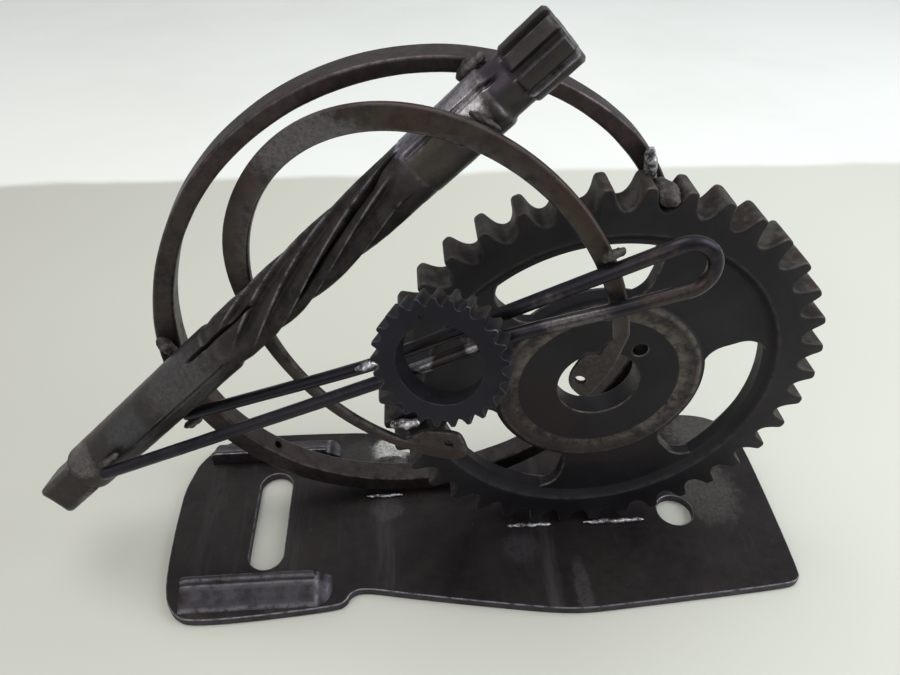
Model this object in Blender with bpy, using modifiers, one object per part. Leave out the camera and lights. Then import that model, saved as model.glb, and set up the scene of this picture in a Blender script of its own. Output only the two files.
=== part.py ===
"""Welded table sculpture of reused steel machine parts, standing on a slotted base plate.

Lengths below are millimetres, and MM turns them into Blender's metres. +X runs along the base plate,
+Y to the back and +Z up. The origin is the middle of the plate's underside, on which the piece rests.
Neighbouring pieces keep a gap of about 0.3 mm, because each of them is a solid of its own.
"""
import math

import bmesh
import bpy
from mathutils import Matrix, Vector

MM = 0.001
FULL_TURN = 2.0 * math.pi
OVERSHOOT = 3.0
SHARP_ANGLE = math.radians(30.0)

# Base plate
PLATE_THICKNESS = 4.0
PLATE_OUTLINE = [(-126.0, -17.0), (-124.0, -34.0), (-119.5, -43.0), (-111.0, -47.2), (-57.5, -43.8),
                 (-53.6, -41.5), (-52.2, -38.2), (-47.0, -36.6), (-29.5, -40.2), (0.0, -45.4),
                 (26.0, -49.6), (38.0, -50.4), (52.0, -49.6), (118.0, -45.2), (123.6, -43.6),
                 (125.6, -40.0), (128.6, 22.0), (127.0, 34.0), (122.0, 42.5), (112.0, 47.5),
                 (96.0, 48.6), (70.0, 45.6), (38.0, 39.4),
    (16.0, 33.2), (2.0, 29.6), (-12.0, 28.8), (-26.0, 30.6), (-34.0, 34.4), (-39.0, 40.4), (-44.5, 44.6),
    (-52.0, 45.6), (-80.0, 46.2), (-104.0, 46.0), (-116.0, 41.0), (-123.4, 31.0),
                 (-125.0, 24.0), (-126.6, 17.5), (-127.0, 8.0)]
SLOT_X = -87.0
SLOT_HALF_WIDTH = 6.9
SLOT_FRONT_Y = -26.0
SLOT_BACK_Y = 22.5
HOLE_CENTRE = (85.0, -7.8)
HOLE_RADIUS = 7.6
RIB_LEFT_X = -117.0
RIB_RIGHT_X = -59.0
RIB_HEIGHT = 7.0
RIB_WIDTH = 12.0
RIB_ROOT = 1.0
RIB_FRONT_WALL_Y = -31.4
RIB_BACK_WALL_Y = 29.4

# Large toothed wheel, its front face across -Y
WHEEL_CENTRE = (40.5, -11.2, 82.0)
WHEEL_WIDTH = 12.0
WHEEL_TEETH = 38
WHEEL_TIP_RADIUS = 77.7
WHEEL_ROOT_RADIUS = 70.2
WHEEL_FIRST_TOOTH = 143.4
RIM_INNER_RADIUS = 62.3
WEB_OUTER_RADIUS = 59.2
WEB_FRONT_DEPTH = 2.3
WEB_BACK_DEPTH = 7.2
BOSS_FOOT_RADIUS = 36.6
BOSS_RADIUS = 35.8
BOSS_FRONT_DEPTH = 1.0
BOSS_BACK_DEPTH = 11.0
BOSS_FLAT_RADIUS = 28.4
BOSS_FLAT_DEPTH = 2.0
WHEEL_BORE_RADIUS = 14.4
DOWEL_RADIUS = 2.6
DOWEL_PITCH_RADIUS = 19.6
DOWEL_ANGLE = 50.0
RECESS_STEPS = 60
WINDOW_INNER_RADIUS = 37.2
WINDOW_OUTER_RADIUS = 58.6
WINDOW_CORNER_RADIUS = 8.0
WINDOW_SPANS = [(75.0, 136.0), (-48.5, 19.0), (-165.5, -100.5)]
# half of one tooth: share of the half pitch, share of the tooth height
WHEEL_TOOTH = [(0.87, 0.0), (0.70, 0.11), (0.42, 0.51), (0.27, 0.93), (0.13, 1.0)]

# Small toothed wheel, leaning back and turned to the left
PINION_CENTRE = (-17.7, -44.8, 125.7)
PINION_AZIMUTH = -17.1
PINION_TILT = 13.8
PINION_WIDTH = 8.5
PINION_TEETH = 25
PINION_TIP_RADIUS = 19.8
PINION_ROOT_RADIUS = 17.5
PINION_FIRST_TOOTH = -2.8
PINION_BORE_RADIUS = 12.4
KEYWAY_ANGLE = 111.0
KEYWAY_HALF_WIDTH = 1.25
KEYWAY_RADIUS = 15.0
PINION_TOOTH = [(0.86, 0.0), (0.52, 0.40), (0.26, 1.0)]

# Large closed ring of bar, a little oval and thicker at the bottom
HOOP_CENTRE = (-21.8, 3.1, 99.5)
HOOP_AZIMUTH = 1.9
HOOP_TILT = -3.9
HOOP_RADIUS = 91.8
HOOP_INNER_RADIUS = 85.2
HOOP_WIDTH = 9.0
HOOP_INNER_SHIFT = (0.7, 2.0)
HOOP_OVAL = 0.047
HOOP_OVAL_ANGLE = 73.0
HOOP_STEPS = 72
# places where the bar is hammered wider: angle, spread, height
HOOP_BULGES = [(190.0, 20.0, 1.3), (44.0, 12.0, 1.2)]
HOOP_HOLE_RADIUS = 1.7
HOOP_HOLE_ANGLE = -133.0

# Small open ring with an eye at each end
CLIP_CENTRE = (-22.2, -18.8, 123.6)
CLIP_AZIMUTH = -18.6
CLIP_TILT = -0.3
CLIP_RADIUS = 63.2
CLIP_INNER_RADIUS = 57.5
CLIP_WIDTH = 2.3
CLIP_INNER_SHIFT = (0.8, -1.5)
CLIP_OVAL = 0.031
CLIP_OVAL_ANGLE = 118.0
CLIP_SPAN = (4.0, 262.0)
CLIP_STEPS = 56
CLIP_EYE_RIGHT = [(60.8, -0.4), (59.4, -7.6), (56.2, -16.2), (53.4, -21.6), (51.4, -22.4),
                  (47.4, -19.2), (46.4, -15.2), (48.2, -9.6), (50.2, -5.2), (53.2, -4.8), (55.4, -1.4)]
CLIP_EYE_BELOW = [(-2.0, -64.2), (5.7, -64.9), (12.0, -63.6), (16.5, -60.2), (14.1, -52.2),
                  (11.7, -50.2), (4.0, -51.2), (-1.5, -53.0), (-4.6, -57.0)]
CLIP_EYE_HOLES = [(50.2, -15.4), (9.1, -56.0)]
CLIP_BULGES = [(172.0, 22.0, 1.9)]
CLIP_EYE_HOLE_RADIUS = 1.5

# Fluted shaft: a point on its axis, the axis, and stations along it from that point
SHAFT_POINT = (-109.7, -9.5, 84.0)
SHAFT_AXIS = (0.7249, -0.0138, 0.6887)
SHAFT_SIDES = 48
TANG_END = -68.5
TANG_ROOT = -48.6
TANG_HALF = 6.8
TANG_CHAMFER = 1.0
TANG_CORNER = 1.32
TANG_TURN = -10.0
SHANK_START = -48.0
SHANK_END = 33.6
SHANK_RADIUS = 9.0
FLUTES_START = 40.0
FLUTES_END = 120.0
FLUTED_RADIUS = (8.8, 8.4)
FLUTE_ROWS = 20
FLUTE_FADE = 0.12
# degrees a millimetre at the start of the flutes, and how much of it is lost along them
FLUTE_TURN = 2.9
FLUTE_TURN_LOSS = 0.0095
FLUTE_PHASE = 2.0
# depth of the cut at each of the points across one flute, repeated round the shaft
FLUTE_CUTS = [0.0, 2.3, 1.8, 1.2, 0.7, 0.2]
COLLAR_START = 122.5
COLLAR_END = 150.0
COLLAR_RADIUS = 8.6
NECK_RADIUS = 7.6
HEAD_START = 157.0
HEAD_END = 172.5
HEAD_RADIUS = 8.5
HEAD_CUTS = [0.2, 1.7, 1.4, 0.0, 0.0, 0.0]

# Hairpin rod: two legs, hand-bent beside the small wheel, and a round bend
ROD_RADIUS = 2.1
ROD_UPPER_LEG = [(-106.1, -6.3, 72.3), (-36.6, -22.4, 107.0), (-28.6, -24.3, 113.1)]
ROD_LOWER_LEG = [(32.8, -40.1, 139.6), (0.0, -36.2, 127.8), (-16.9, -34.2, 117.6), (-134.1, -21.0, 59.8)]
ROD_BEND_CENTRE = (46.0, -41.7, 152.8)
ROD_BEND_RADIUS = 7.6
ROD_BEND_SPAN = (123.0, -69.0)
ROD_BEND_STEPS = 12

# Weld deposits: name, centre, half sizes, turn about Y in degrees
WELDS = [
    ("weld_wheel_foot_left", (21.0, -12.4, 5.1), (8.0, 0.8, 0.7), 0.0),
    ("weld_wheel_foot_right", (57.0, -12.4, 5.1), (12.0, 0.8, 0.7), 0.0),
    ("weld_large_ring_foot_front", (-39.5, 6.8, 5.0), (6.5, 0.9, 0.65), 0.0),
    ("weld_large_ring_foot_back", (-39.0, 23.6, 5.7), (8.5, 5.0, 1.3), 0.0),
    ("weld_large_ring_to_wheel_top", (46.6, -1.6, 163.8), (2.6, 2.1, 4.0), 30.0),
    ("weld_large_ring_to_wheel_gap", (51.2, -5.6, 155.3), (2.2, 5.0, 2.6), 10.0),
    ("weld_large_ring_to_collar_left", (-7.8, -5.3, 192.9), (3.6, 1.9, 1.7), -43.5),
    ("weld_large_ring_to_collar_right", (12.6, -4.3, 188.8), (1.8, 1.9, 2.8), 0.0),
    ("weld_large_ring_to_shank", (-106.6, -2.6, 101.2), (2.0, 2.3, 3.2), -30.0),
    ("weld_open_ring_to_collar", (-4.7, -21.15, 184.5), (3.4, 0.74, 0.95), 30.0),
    ("weld_open_ring_to_wheel", (-28.4, -13.2, 70.2), (4.0, 1.7, 2.0), 0.0),
    ("weld_open_ring_to_rod", (27.6, -38.1, 155.2), (2.6, 1.8, 1.7), -33.0),
    ("weld_rod_lower_end", (-130.6, -20.0, 66.0), (4.0, 1.4, 1.2), -35.0),
    ("weld_rod_upper_end", (-103.4, -7.6, 69.2), (3.0, 2.0, 1.5), -25.0),
    ("weld_small_wheel_left", (-37.8, -33.4, 116.4), (3.2, 1.3, 1.1), -20.0),
    ("weld_small_wheel_bore", (-8.0, -37.0, 128.4), (2.6, 2.0, 1.8), 0.0),
]
WELD_SEGMENTS = 10
WELD_RINGS = 6


def clear_scene():
    for old in list(bpy.data.objects):
        bpy.data.objects.remove(old, do_unlink=True)


def new_collection(name):
    collection = bpy.data.collections.new(name)
    bpy.context.scene.collection.children.link(collection)
    return collection


def new_material(name, rgb, metallic, roughness):
    material = bpy.data.materials.new(name)
    material.use_nodes = True
    shader = material.node_tree.nodes["Principled BSDF"]
    shader.inputs["Base Color"].default_value = (*rgb, 1.0)
    shader.inputs["Metallic"].default_value = metallic
    shader.inputs["Roughness"].default_value = roughness
    return material


def smooth(mesh):
    mesh.shade_smooth()
    mesh.set_sharp_from_angle(angle=SHARP_ANGLE)


def place_object(name, data, collection, material=None, matrix=None):
    piece = bpy.data.objects.new(name, data)
    collection.objects.link(piece)
    if material is not None:
        data.materials.clear()
        data.materials.append(material)
    if matrix is not None:
        piece.matrix_world = matrix
    return piece


def polar(radius, degrees):
    angle = math.radians(degrees)
    return (radius * math.cos(angle), radius * math.sin(angle))


def arc(centre, radius, start, stop, steps):
    """Points of an arc between two angles in degrees, both ends included."""
    points = []
    for step in range(steps + 1):
        x, y = polar(radius, start + (stop - start) * step / steps)
        points.append((centre[0] + x, centre[1] + y))
    return points


def circle(centre, radius, steps):
    return arc(centre, radius, 0.0, 360.0 - 360.0 / steps, steps - 1)


def facing(centre, azimuth, tilt):
    """Local Z looks out of the front face, X to the right and Y up the face."""
    turn = Matrix.Rotation(math.radians(azimuth), 4, 'Z')
    lean = Matrix.Rotation(math.radians(90.0 - tilt), 4, 'X')
    return Matrix.Translation(Vector(centre) * MM) @ turn @ lean


def weld_caps(mesh):
    """Joins a filled curve's loose caps to its walls."""
    shape = bmesh.new()
    shape.from_mesh(mesh)
    bmesh.ops.remove_doubles(shape, verts=shape.verts, dist=0.001 * MM)
    bmesh.ops.recalc_face_normals(shape, faces=shape.faces)
    shape.to_mesh(mesh)
    shape.free()


def flat_plate(name, loops, front, back, collection, material=None, matrix=Matrix.Identity(4)):
    """A flat solid from an outline and its holes, between two heights along local Z."""
    outline = bpy.data.curves.new(name + "_outline", 'CURVE')
    outline.dimensions = '2D'
    outline.fill_mode = 'BOTH'
    outline.extrude = abs(front - back) * MM / 2.0
    for loop in loops:
        spline = outline.splines.new('POLY')
        spline.points.add(len(loop) - 1)
        for point, (x, y) in zip(spline.points, loop):
            point.co = (x * MM, y * MM, 0.0, 1.0)
        spline.use_cyclic_u = True
    middle = Matrix.Translation((0.0, 0.0, (front + back) * MM / 2.0))
    guide = place_object(name + "_outline", outline, collection, matrix=matrix @ middle)
    bpy.context.view_layer.update()
    mesh = bpy.data.meshes.new_from_object(guide.evaluated_get(bpy.context.evaluated_depsgraph_get()))
    mesh.name = name
    weld_caps(mesh)
    bpy.data.objects.remove(guide, do_unlink=True)
    smooth(mesh)
    return place_object(name, mesh, collection, material, matrix @ middle)


def turned(name, profile, steps, collection, matrix):
    """A (radius, height) profile, listed from top to bottom, turned round local Z."""
    mesh = bpy.data.meshes.new(name)
    points = [(radius * MM, 0.0, height * MM) for radius, height in profile]
    edges = [(index, index + 1) for index in range(len(points) - 1)]
    mesh.from_pydata(points, edges, [])
    piece = place_object(name, mesh, collection, matrix=matrix)
    screw = piece.modifiers.new("turn", 'SCREW')
    screw.angle = FULL_TURN
    screw.steps = steps
    screw.render_steps = steps
    screw.use_merge_vertices = True
    screw.merge_threshold = 0.001 * MM
    return piece


def combine(target, other, operation):
    """Joins to or cuts from the target a guide solid that isn't a piece of its own."""
    other.hide_render = True
    other.display_type = 'WIRE'
    modifier = target.modifiers.new(operation.lower() + "_" + other.name, 'BOOLEAN')
    modifier.operation = operation
    modifier.solver = 'EXACT'
    modifier.object = other


def tooth_outline(count, first, root, tip, half_tooth):
    """Outline of a wheel whose tooth repeats round it; half_tooth runs from the root to the tip."""
    half_pitch = 180.0 / count
    both_flanks = [(-share, height) for share, height in half_tooth]
    both_flanks += [(share, height) for share, height in reversed(half_tooth)]
    points = []
    for tooth in range(count):
        middle = first + tooth * 360.0 / count
        for share, height in both_flanks:
            points.append(polar(root + (tip - root) * height, middle + share * half_pitch))
    return points


def kidney(inner, outer, start, stop, corner):
    """A curved window between two radii and two angles, with round corners."""
    far = outer - corner
    near = inner + corner
    far_lean = math.degrees(math.asin(corner / far))
    near_lean = math.degrees(math.asin(corner / near))
    points = arc(polar(far, start + far_lean), corner, start - 90.0, start + far_lean, 6)
    points += arc((0.0, 0.0), outer, start + far_lean + 4.0, stop - far_lean - 4.0, 8)
    points += arc(polar(far, stop - far_lean), corner, stop - far_lean, stop + 90.0, 6)
    points += arc(polar(near, stop - near_lean), corner, stop + 90.0, stop - near_lean + 180.0, 5)
    points += arc((0.0, 0.0), inner, stop - near_lean - 4.0, start + near_lean + 4.0, 6)
    points += arc(polar(near, start + near_lean), corner, start + near_lean + 180.0, start + 270.0, 5)
    return points


def oval(radius, degrees, amount, longest):
    return radius * (1.0 + amount * math.cos(2.0 * math.radians(degrees - longest)))


def oval_arc(radius, start, stop, steps, amount, longest, shift=(0.0, 0.0), bulges=()):
    points = []
    for step in range(steps + 1):
        angle = start + (stop - start) * step / steps
        swollen = sum(height * math.exp(-((angle - middle) / spread) ** 2) for middle, spread, height in bulges)
        x, y = polar(oval(radius, angle, amount, longest) + swollen, angle)
        points.append((x + shift[0], y + shift[1]))
    return points


def stadium(x, half_width, front, back):
    """A slot along Y with half-round ends."""
    return (arc((x, back - half_width), half_width, 0.0, 180.0, 12)
            + arc((x, front + half_width), half_width, 180.0, 360.0, 12))


def rib_section(wall, side):
    """Section across a formed rib: upright inner wall, narrow top, small step, long outer slope."""
    foot = PLATE_THICKNESS - RIB_ROOT
    outer = wall + side * RIB_WIDTH
    return [(wall, foot), (wall, PLATE_THICKNESS + RIB_HEIGHT),
            (wall + side * 2.2, PLATE_THICKNESS + RIB_HEIGHT),
            (wall + side * 2.8, PLATE_THICKNESS + 5.4), (wall + side * 4.4, PLATE_THICKNESS + 5.0),
            (outer - side * 1.6, PLATE_THICKNESS + 2.4), (outer, PLATE_THICKNESS + 0.6), (outer, foot)]


def build_plate(parts, tools, material):
    loops = [PLATE_OUTLINE, stadium(SLOT_X, SLOT_HALF_WIDTH, SLOT_FRONT_Y, SLOT_BACK_Y),
             circle(HOLE_CENTRE, HOLE_RADIUS, 36)]
    plate = flat_plate("base_plate", loops, PLATE_THICKNESS, 0.0, parts, material)
    along_x = Matrix(((0.0, 0.0, 1.0, 0.0), (1.0, 0.0, 0.0, 0.0), (0.0, 1.0, 0.0, 0.0), (0.0, 0.0, 0.0, 1.0)))
    for name, wall, side in (("front_rib", RIB_FRONT_WALL_Y, -1.0), ("back_rib", RIB_BACK_WALL_Y, 1.0)):
        section = rib_section(wall, side)
        combine(plate, flat_plate(name, [section], RIB_RIGHT_X, RIB_LEFT_X, tools, matrix=along_x), 'UNION')


def build_wheel(parts, tools, material):
    place = facing(WHEEL_CENTRE, 0.0, 0.0)
    loops = [tooth_outline(WHEEL_TEETH, WHEEL_FIRST_TOOTH, WHEEL_ROOT_RADIUS, WHEEL_TIP_RADIUS, WHEEL_TOOTH),
             circle((0.0, 0.0), WHEEL_BORE_RADIUS, 48),
             circle(polar(DOWEL_PITCH_RADIUS, DOWEL_ANGLE), DOWEL_RADIUS, 20)]
    for start, stop in WINDOW_SPANS:
        loops.append(kidney(WINDOW_INNER_RADIUS, WINDOW_OUTER_RADIUS, start, stop, WINDOW_CORNER_RADIUS))
    wheel = flat_plate("large_toothed_wheel", loops, 0.0, -WHEEL_WIDTH, parts, material, place)
    front = [(0.0, OVERSHOOT), (RIM_INNER_RADIUS, OVERSHOOT), (RIM_INNER_RADIUS, 0.0),
             (WEB_OUTER_RADIUS, -WEB_FRONT_DEPTH), (BOSS_FOOT_RADIUS, -WEB_FRONT_DEPTH),
             (BOSS_RADIUS, -BOSS_FRONT_DEPTH), (BOSS_FLAT_RADIUS, -BOSS_FLAT_DEPTH), (0.0, -BOSS_FLAT_DEPTH)]
    back = [(0.0, -BOSS_BACK_DEPTH), (BOSS_RADIUS, -BOSS_BACK_DEPTH), (BOSS_FOOT_RADIUS, -WEB_BACK_DEPTH),
            (WEB_OUTER_RADIUS, -WEB_BACK_DEPTH), (RIM_INNER_RADIUS, -WHEEL_WIDTH),
            (RIM_INNER_RADIUS, -WHEEL_WIDTH - OVERSHOOT), (0.0, -WHEEL_WIDTH - OVERSHOOT)]
    combine(wheel, turned("front_recess", front, RECESS_STEPS, tools, place), 'DIFFERENCE')
    combine(wheel, turned("back_recess", back, RECESS_STEPS, tools, place), 'DIFFERENCE')


def bore_with_keyway():
    """The bore's circle, opened by a square keyway."""
    half_gap = math.degrees(math.asin(KEYWAY_HALF_WIDTH / PINION_BORE_RADIUS))
    half_end = math.degrees(math.asin(KEYWAY_HALF_WIDTH / KEYWAY_RADIUS))
    points = arc((0.0, 0.0), PINION_BORE_RADIUS, KEYWAY_ANGLE + half_gap, KEYWAY_ANGLE + 360.0 - half_gap, 40)
    return points + arc((0.0, 0.0), KEYWAY_RADIUS, KEYWAY_ANGLE - half_end, KEYWAY_ANGLE + half_end, 2)


def build_pinion(parts, material):
    loops = [tooth_outline(PINION_TEETH, PINION_FIRST_TOOTH, PINION_ROOT_RADIUS, PINION_TIP_RADIUS,
                           PINION_TOOTH), bore_with_keyway()]
    place = facing(PINION_CENTRE, PINION_AZIMUTH, PINION_TILT)
    flat_plate("small_toothed_wheel", loops, 0.0, -PINION_WIDTH, parts, material, place)


def build_hoop(parts, tools, material):
    place = facing(HOOP_CENTRE, HOOP_AZIMUTH, HOOP_TILT)
    last = 360.0 - 360.0 / HOOP_STEPS
    loops = [oval_arc(HOOP_RADIUS, 0.0, last, HOOP_STEPS - 1, HOOP_OVAL, HOOP_OVAL_ANGLE,
                      bulges=HOOP_BULGES),
             oval_arc(HOOP_INNER_RADIUS, 0.0, last, HOOP_STEPS - 1, HOOP_OVAL, HOOP_OVAL_ANGLE,
                      HOOP_INNER_SHIFT)]
    hoop = flat_plate("large_ring", loops, 0.0, -HOOP_WIDTH, parts, material, place)
    x, y = polar(oval(HOOP_INNER_RADIUS, HOOP_HOLE_ANGLE, HOOP_OVAL, HOOP_OVAL_ANGLE), HOOP_HOLE_ANGLE)
    spot = Matrix.Translation(Vector((x, y, -HOOP_WIDTH / 2.0)) * MM)
    outward = Matrix.Rotation(math.radians(HOOP_HOLE_ANGLE), 4, 'Z') @ Matrix.Rotation(math.pi / 2.0, 4, 'Y')
    drill = bmesh.new()
    bmesh.ops.create_cone(drill, cap_ends=True, segments=16, radius1=HOOP_HOLE_RADIUS * MM,
                          radius2=HOOP_HOLE_RADIUS * MM, depth=HOOP_WIDTH * OVERSHOOT * MM)
    drill_mesh = bpy.data.meshes.new("ring_drill")
    drill.to_mesh(drill_mesh)
    drill.free()
    combine(hoop, place_object("ring_drill", drill_mesh, tools, matrix=place @ spot @ outward), 'DIFFERENCE')


def build_clip(parts, material):
    start, stop = CLIP_SPAN
    outer = oval_arc(CLIP_RADIUS, start, stop, CLIP_STEPS, CLIP_OVAL, CLIP_OVAL_ANGLE, bulges=CLIP_BULGES)
    inner = oval_arc(CLIP_INNER_RADIUS, stop, start, CLIP_STEPS, CLIP_OVAL, CLIP_OVAL_ANGLE, CLIP_INNER_SHIFT)
    loops = [outer + CLIP_EYE_BELOW + inner + CLIP_EYE_RIGHT[::-1]]
    loops += [circle(centre, CLIP_EYE_HOLE_RADIUS, 16) for centre in CLIP_EYE_HOLES]
    place = facing(CLIP_CENTRE, CLIP_AZIMUTH, CLIP_TILT)
    flat_plate("small_open_ring", loops, 0.0, -CLIP_WIDTH, parts, material, place)


def round_section(radius):
    return [radius] * SHAFT_SIDES


def square_section(half):
    """Radii of a square with broken corners."""
    radii = []
    for side in range(SHAFT_SIDES):
        angle = FULL_TURN * side / SHAFT_SIDES
        to_flat = half / max(abs(math.cos(angle)), abs(math.sin(angle)))
        radii.append(min(to_flat, half * TANG_CORNER))
    return radii


def cut_section(radius, cuts, depth):
    """Radii of a round bar with a row of flutes cut to a share of their full depth."""
    return [radius - depth * cuts[side % len(cuts)] for side in range(SHAFT_SIDES)]


def flute_turn(along):
    """How far the flutes have turned, in radians: they straighten towards the collar."""
    distance = along - FLUTES_START
    return math.radians(FLUTE_PHASE - FLUTE_TURN * distance + FLUTE_TURN_LOSS * distance ** 2)


def shaft_stations():
    """Stations along the shaft: distance, radii round the axis, twist."""
    tang_turn = math.radians(TANG_TURN)
    stations = [(TANG_END, square_section(TANG_HALF - TANG_CHAMFER / 2.0), tang_turn),
                (TANG_END + TANG_CHAMFER, square_section(TANG_HALF), tang_turn),
                (TANG_ROOT, square_section(TANG_HALF), tang_turn),
                (SHANK_START, round_section(SHANK_RADIUS), tang_turn),
                (SHANK_END - 0.6, round_section(SHANK_RADIUS), 0.0),
                (SHANK_END, round_section(SHANK_RADIUS - 0.7), 0.0),
                (FLUTES_START - 3.0, round_section(SHANK_RADIUS - 0.4), 0.0)]
    first, last = FLUTED_RADIUS
    for row in range(FLUTE_ROWS + 1):
        share = row / FLUTE_ROWS
        along = FLUTES_START + (FLUTES_END - FLUTES_START) * share
        depth = min(1.0, share / FLUTE_FADE, (1.0 - share) / FLUTE_FADE)
        stations.append((along, cut_section(first + (last - first) * share, FLUTE_CUTS, depth), flute_turn(along)))
    head = stations[-1][2]
    stations += [(COLLAR_START, round_section(last - 0.2), head),
                 (COLLAR_START + 0.3, round_section(COLLAR_RADIUS), head),
                 (COLLAR_END, round_section(COLLAR_RADIUS), head),
                 (COLLAR_END + 0.8, round_section(NECK_RADIUS), head),
                 (HEAD_START - 0.8, round_section(NECK_RADIUS), head),
                 (HEAD_START, cut_section(HEAD_RADIUS, HEAD_CUTS, 0.8), head),
                 (HEAD_END - 1.0, cut_section(HEAD_RADIUS, HEAD_CUTS, 1.0), head),
                 (HEAD_END, cut_section(HEAD_RADIUS - 0.9, HEAD_CUTS, 1.0), head)]
    return stations


def build_shaft(parts, material):
    """A loft: square tang, plain shank, twisted flutes, collar, neck and notched head."""
    axis = Vector(SHAFT_AXIS).normalized()
    across = axis.cross(Vector((0.0, 1.0, 0.0))).normalized()
    aside = axis.cross(across)
    shape = bmesh.new()
    rows = []
    for along, radii, twist in shaft_stations():
        centre = Vector(SHAFT_POINT) + axis * along
        row = []
        for side, radius in enumerate(radii):
            angle = FULL_TURN * side / SHAFT_SIDES + twist
            spoke = across * math.cos(angle) + aside * math.sin(angle)
            row.append(shape.verts.new((centre + spoke * radius) * MM))
        rows.append(row)
    for row, following in zip(rows, rows[1:]):
        for side in range(SHAFT_SIDES):
            after = (side + 1) % SHAFT_SIDES
            shape.faces.new((row[side], row[after], following[after], following[side]))
    shape.faces.new(reversed(rows[0]))
    shape.faces.new(rows[-1])
    bmesh.ops.recalc_face_normals(shape, faces=shape.faces)
    mesh = bpy.data.meshes.new("fluted_shaft")
    shape.to_mesh(mesh)
    shape.free()
    smooth(mesh)
    place_object("fluted_shaft", mesh, parts, material)


def rod_route():
    """The upper leg, the bend and the lower leg, in order."""
    x, y, z = ROD_BEND_CENTRE
    bend = arc((x, z), ROD_BEND_RADIUS, *ROD_BEND_SPAN, ROD_BEND_STEPS)
    return ROD_UPPER_LEG + [(bend_x, y, bend_z) for bend_x, bend_z in bend] + ROD_LOWER_LEG


def build_rod(parts, material):
    curve = bpy.data.curves.new("hairpin_rod", 'CURVE')
    curve.dimensions = '3D'
    curve.bevel_depth = ROD_RADIUS * MM
    curve.bevel_resolution = 3
    curve.use_fill_caps = True
    route = rod_route()
    spline = curve.splines.new('POLY')
    spline.points.add(len(route) - 1)
    for point, (x, y, z) in zip(spline.points, route):
        point.co = (x * MM, y * MM, z * MM, 1.0)
    place_object("hairpin_rod", curve, parts, material)


def build_welds(parts, material):
    for name, centre, half_sizes, turn in WELDS:
        shape = bmesh.new()
        bmesh.ops.create_uvsphere(shape, u_segments=WELD_SEGMENTS, v_segments=WELD_RINGS, radius=MM)
        shape.transform(Matrix.Diagonal((*half_sizes, 1.0)))
        mesh = bpy.data.meshes.new(name)
        shape.to_mesh(mesh)
        shape.free()
        smooth(mesh)
        matrix = Matrix.Translation(Vector(centre) * MM) @ Matrix.Rotation(math.radians(turn), 4, 'Y')
        place_object(name, mesh, parts, material, matrix)


clear_scene()
sculpture = new_collection("welded_gear_sculpture")
cutters = new_collection("cutters")
build_plate(sculpture, cutters, new_material("scaled_plate", (0.045, 0.036, 0.033), 0.60, 0.55))
build_wheel(sculpture, cutters, new_material("blued_wheel", (0.028, 0.029, 0.036), 0.75, 0.42))
build_pinion(sculpture, new_material("blued_small_wheel", (0.025, 0.027, 0.033), 0.75, 0.42))
build_hoop(sculpture, cutters, new_material("rusty_bar", (0.075, 0.045, 0.036), 0.55, 0.55))
build_clip(sculpture, new_material("worn_spring_steel", (0.11, 0.095, 0.080), 0.65, 0.45))
build_shaft(sculpture, new_material("tool_steel", (0.12, 0.105, 0.095), 0.80, 0.40))
build_rod(sculpture, new_material("blued_rod", (0.035, 0.033, 0.045), 0.80, 0.36))
build_welds(sculpture, new_material("weld_metal", (0.42, 0.40, 0.40), 0.85, 0.38))
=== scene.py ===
"""Looks of the welded gear sculpture: detailed meshes, steel materials, camera, floor and lights."""

import math

import bmesh
import bpy
from mathutils import Matrix, Vector, noise


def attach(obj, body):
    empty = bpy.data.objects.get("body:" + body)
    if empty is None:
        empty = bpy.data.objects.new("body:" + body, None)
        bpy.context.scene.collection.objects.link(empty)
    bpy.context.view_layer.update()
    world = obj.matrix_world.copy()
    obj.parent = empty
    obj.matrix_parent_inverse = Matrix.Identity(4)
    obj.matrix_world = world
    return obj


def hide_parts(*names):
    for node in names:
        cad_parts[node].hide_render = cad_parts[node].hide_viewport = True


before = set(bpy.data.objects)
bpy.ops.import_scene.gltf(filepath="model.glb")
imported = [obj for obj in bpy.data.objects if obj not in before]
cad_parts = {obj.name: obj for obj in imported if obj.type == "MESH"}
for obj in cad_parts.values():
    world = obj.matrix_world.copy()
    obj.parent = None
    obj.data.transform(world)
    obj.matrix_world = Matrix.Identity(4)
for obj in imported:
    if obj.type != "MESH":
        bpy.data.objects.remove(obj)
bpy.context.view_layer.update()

MM = 0.001
FULL_TURN = 2.0 * math.pi

# Base plate
PLATE_THICKNESS = 4.0
PLATE_OUTLINE = [
    (-126.0, -17.0), (-124.0, -34.0), (-119.5, -43.0), (-111.0, -47.2), (-57.5, -43.8), (-53.6, -41.5),
    (-52.2, -38.2), (-47.0, -36.6), (-29.5, -40.2), (0.0, -45.4), (26.0, -49.6), (38.0, -50.4),
    (52.0, -49.6), (118.0, -45.2), (123.6, -43.6), (125.6, -40.0), (128.6, 22.0), (127.0, 34.0),
    (122.0, 42.5), (112.0, 47.5), (96.0, 48.6), (70.0, 45.6), (38.0, 39.4), (16.0, 33.2), (2.0, 29.6),
    (-12.0, 28.8), (-26.0, 30.6), (-34.0, 34.4), (-39.0, 40.4), (-44.5, 44.6), (-52.0, 45.6), (-80.0, 46.2),
    (-104.0, 46.0), (-116.0, 41.0),
    (-123.4, 31.0), (-125.0, 24.0), (-126.6, 17.5), (-127.0, 8.0)]
SLOT = (-87.0, 6.9, -26.0, 22.5)
HOLE = ((85.0, -7.8), 7.6)
RIB_SPAN = (-117.0, -59.0)
RIB_ROUND_END = 6.5
RIB_WALLS = (("front", -31.4, -1.0), ("back", 29.4, 1.0))

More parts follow.
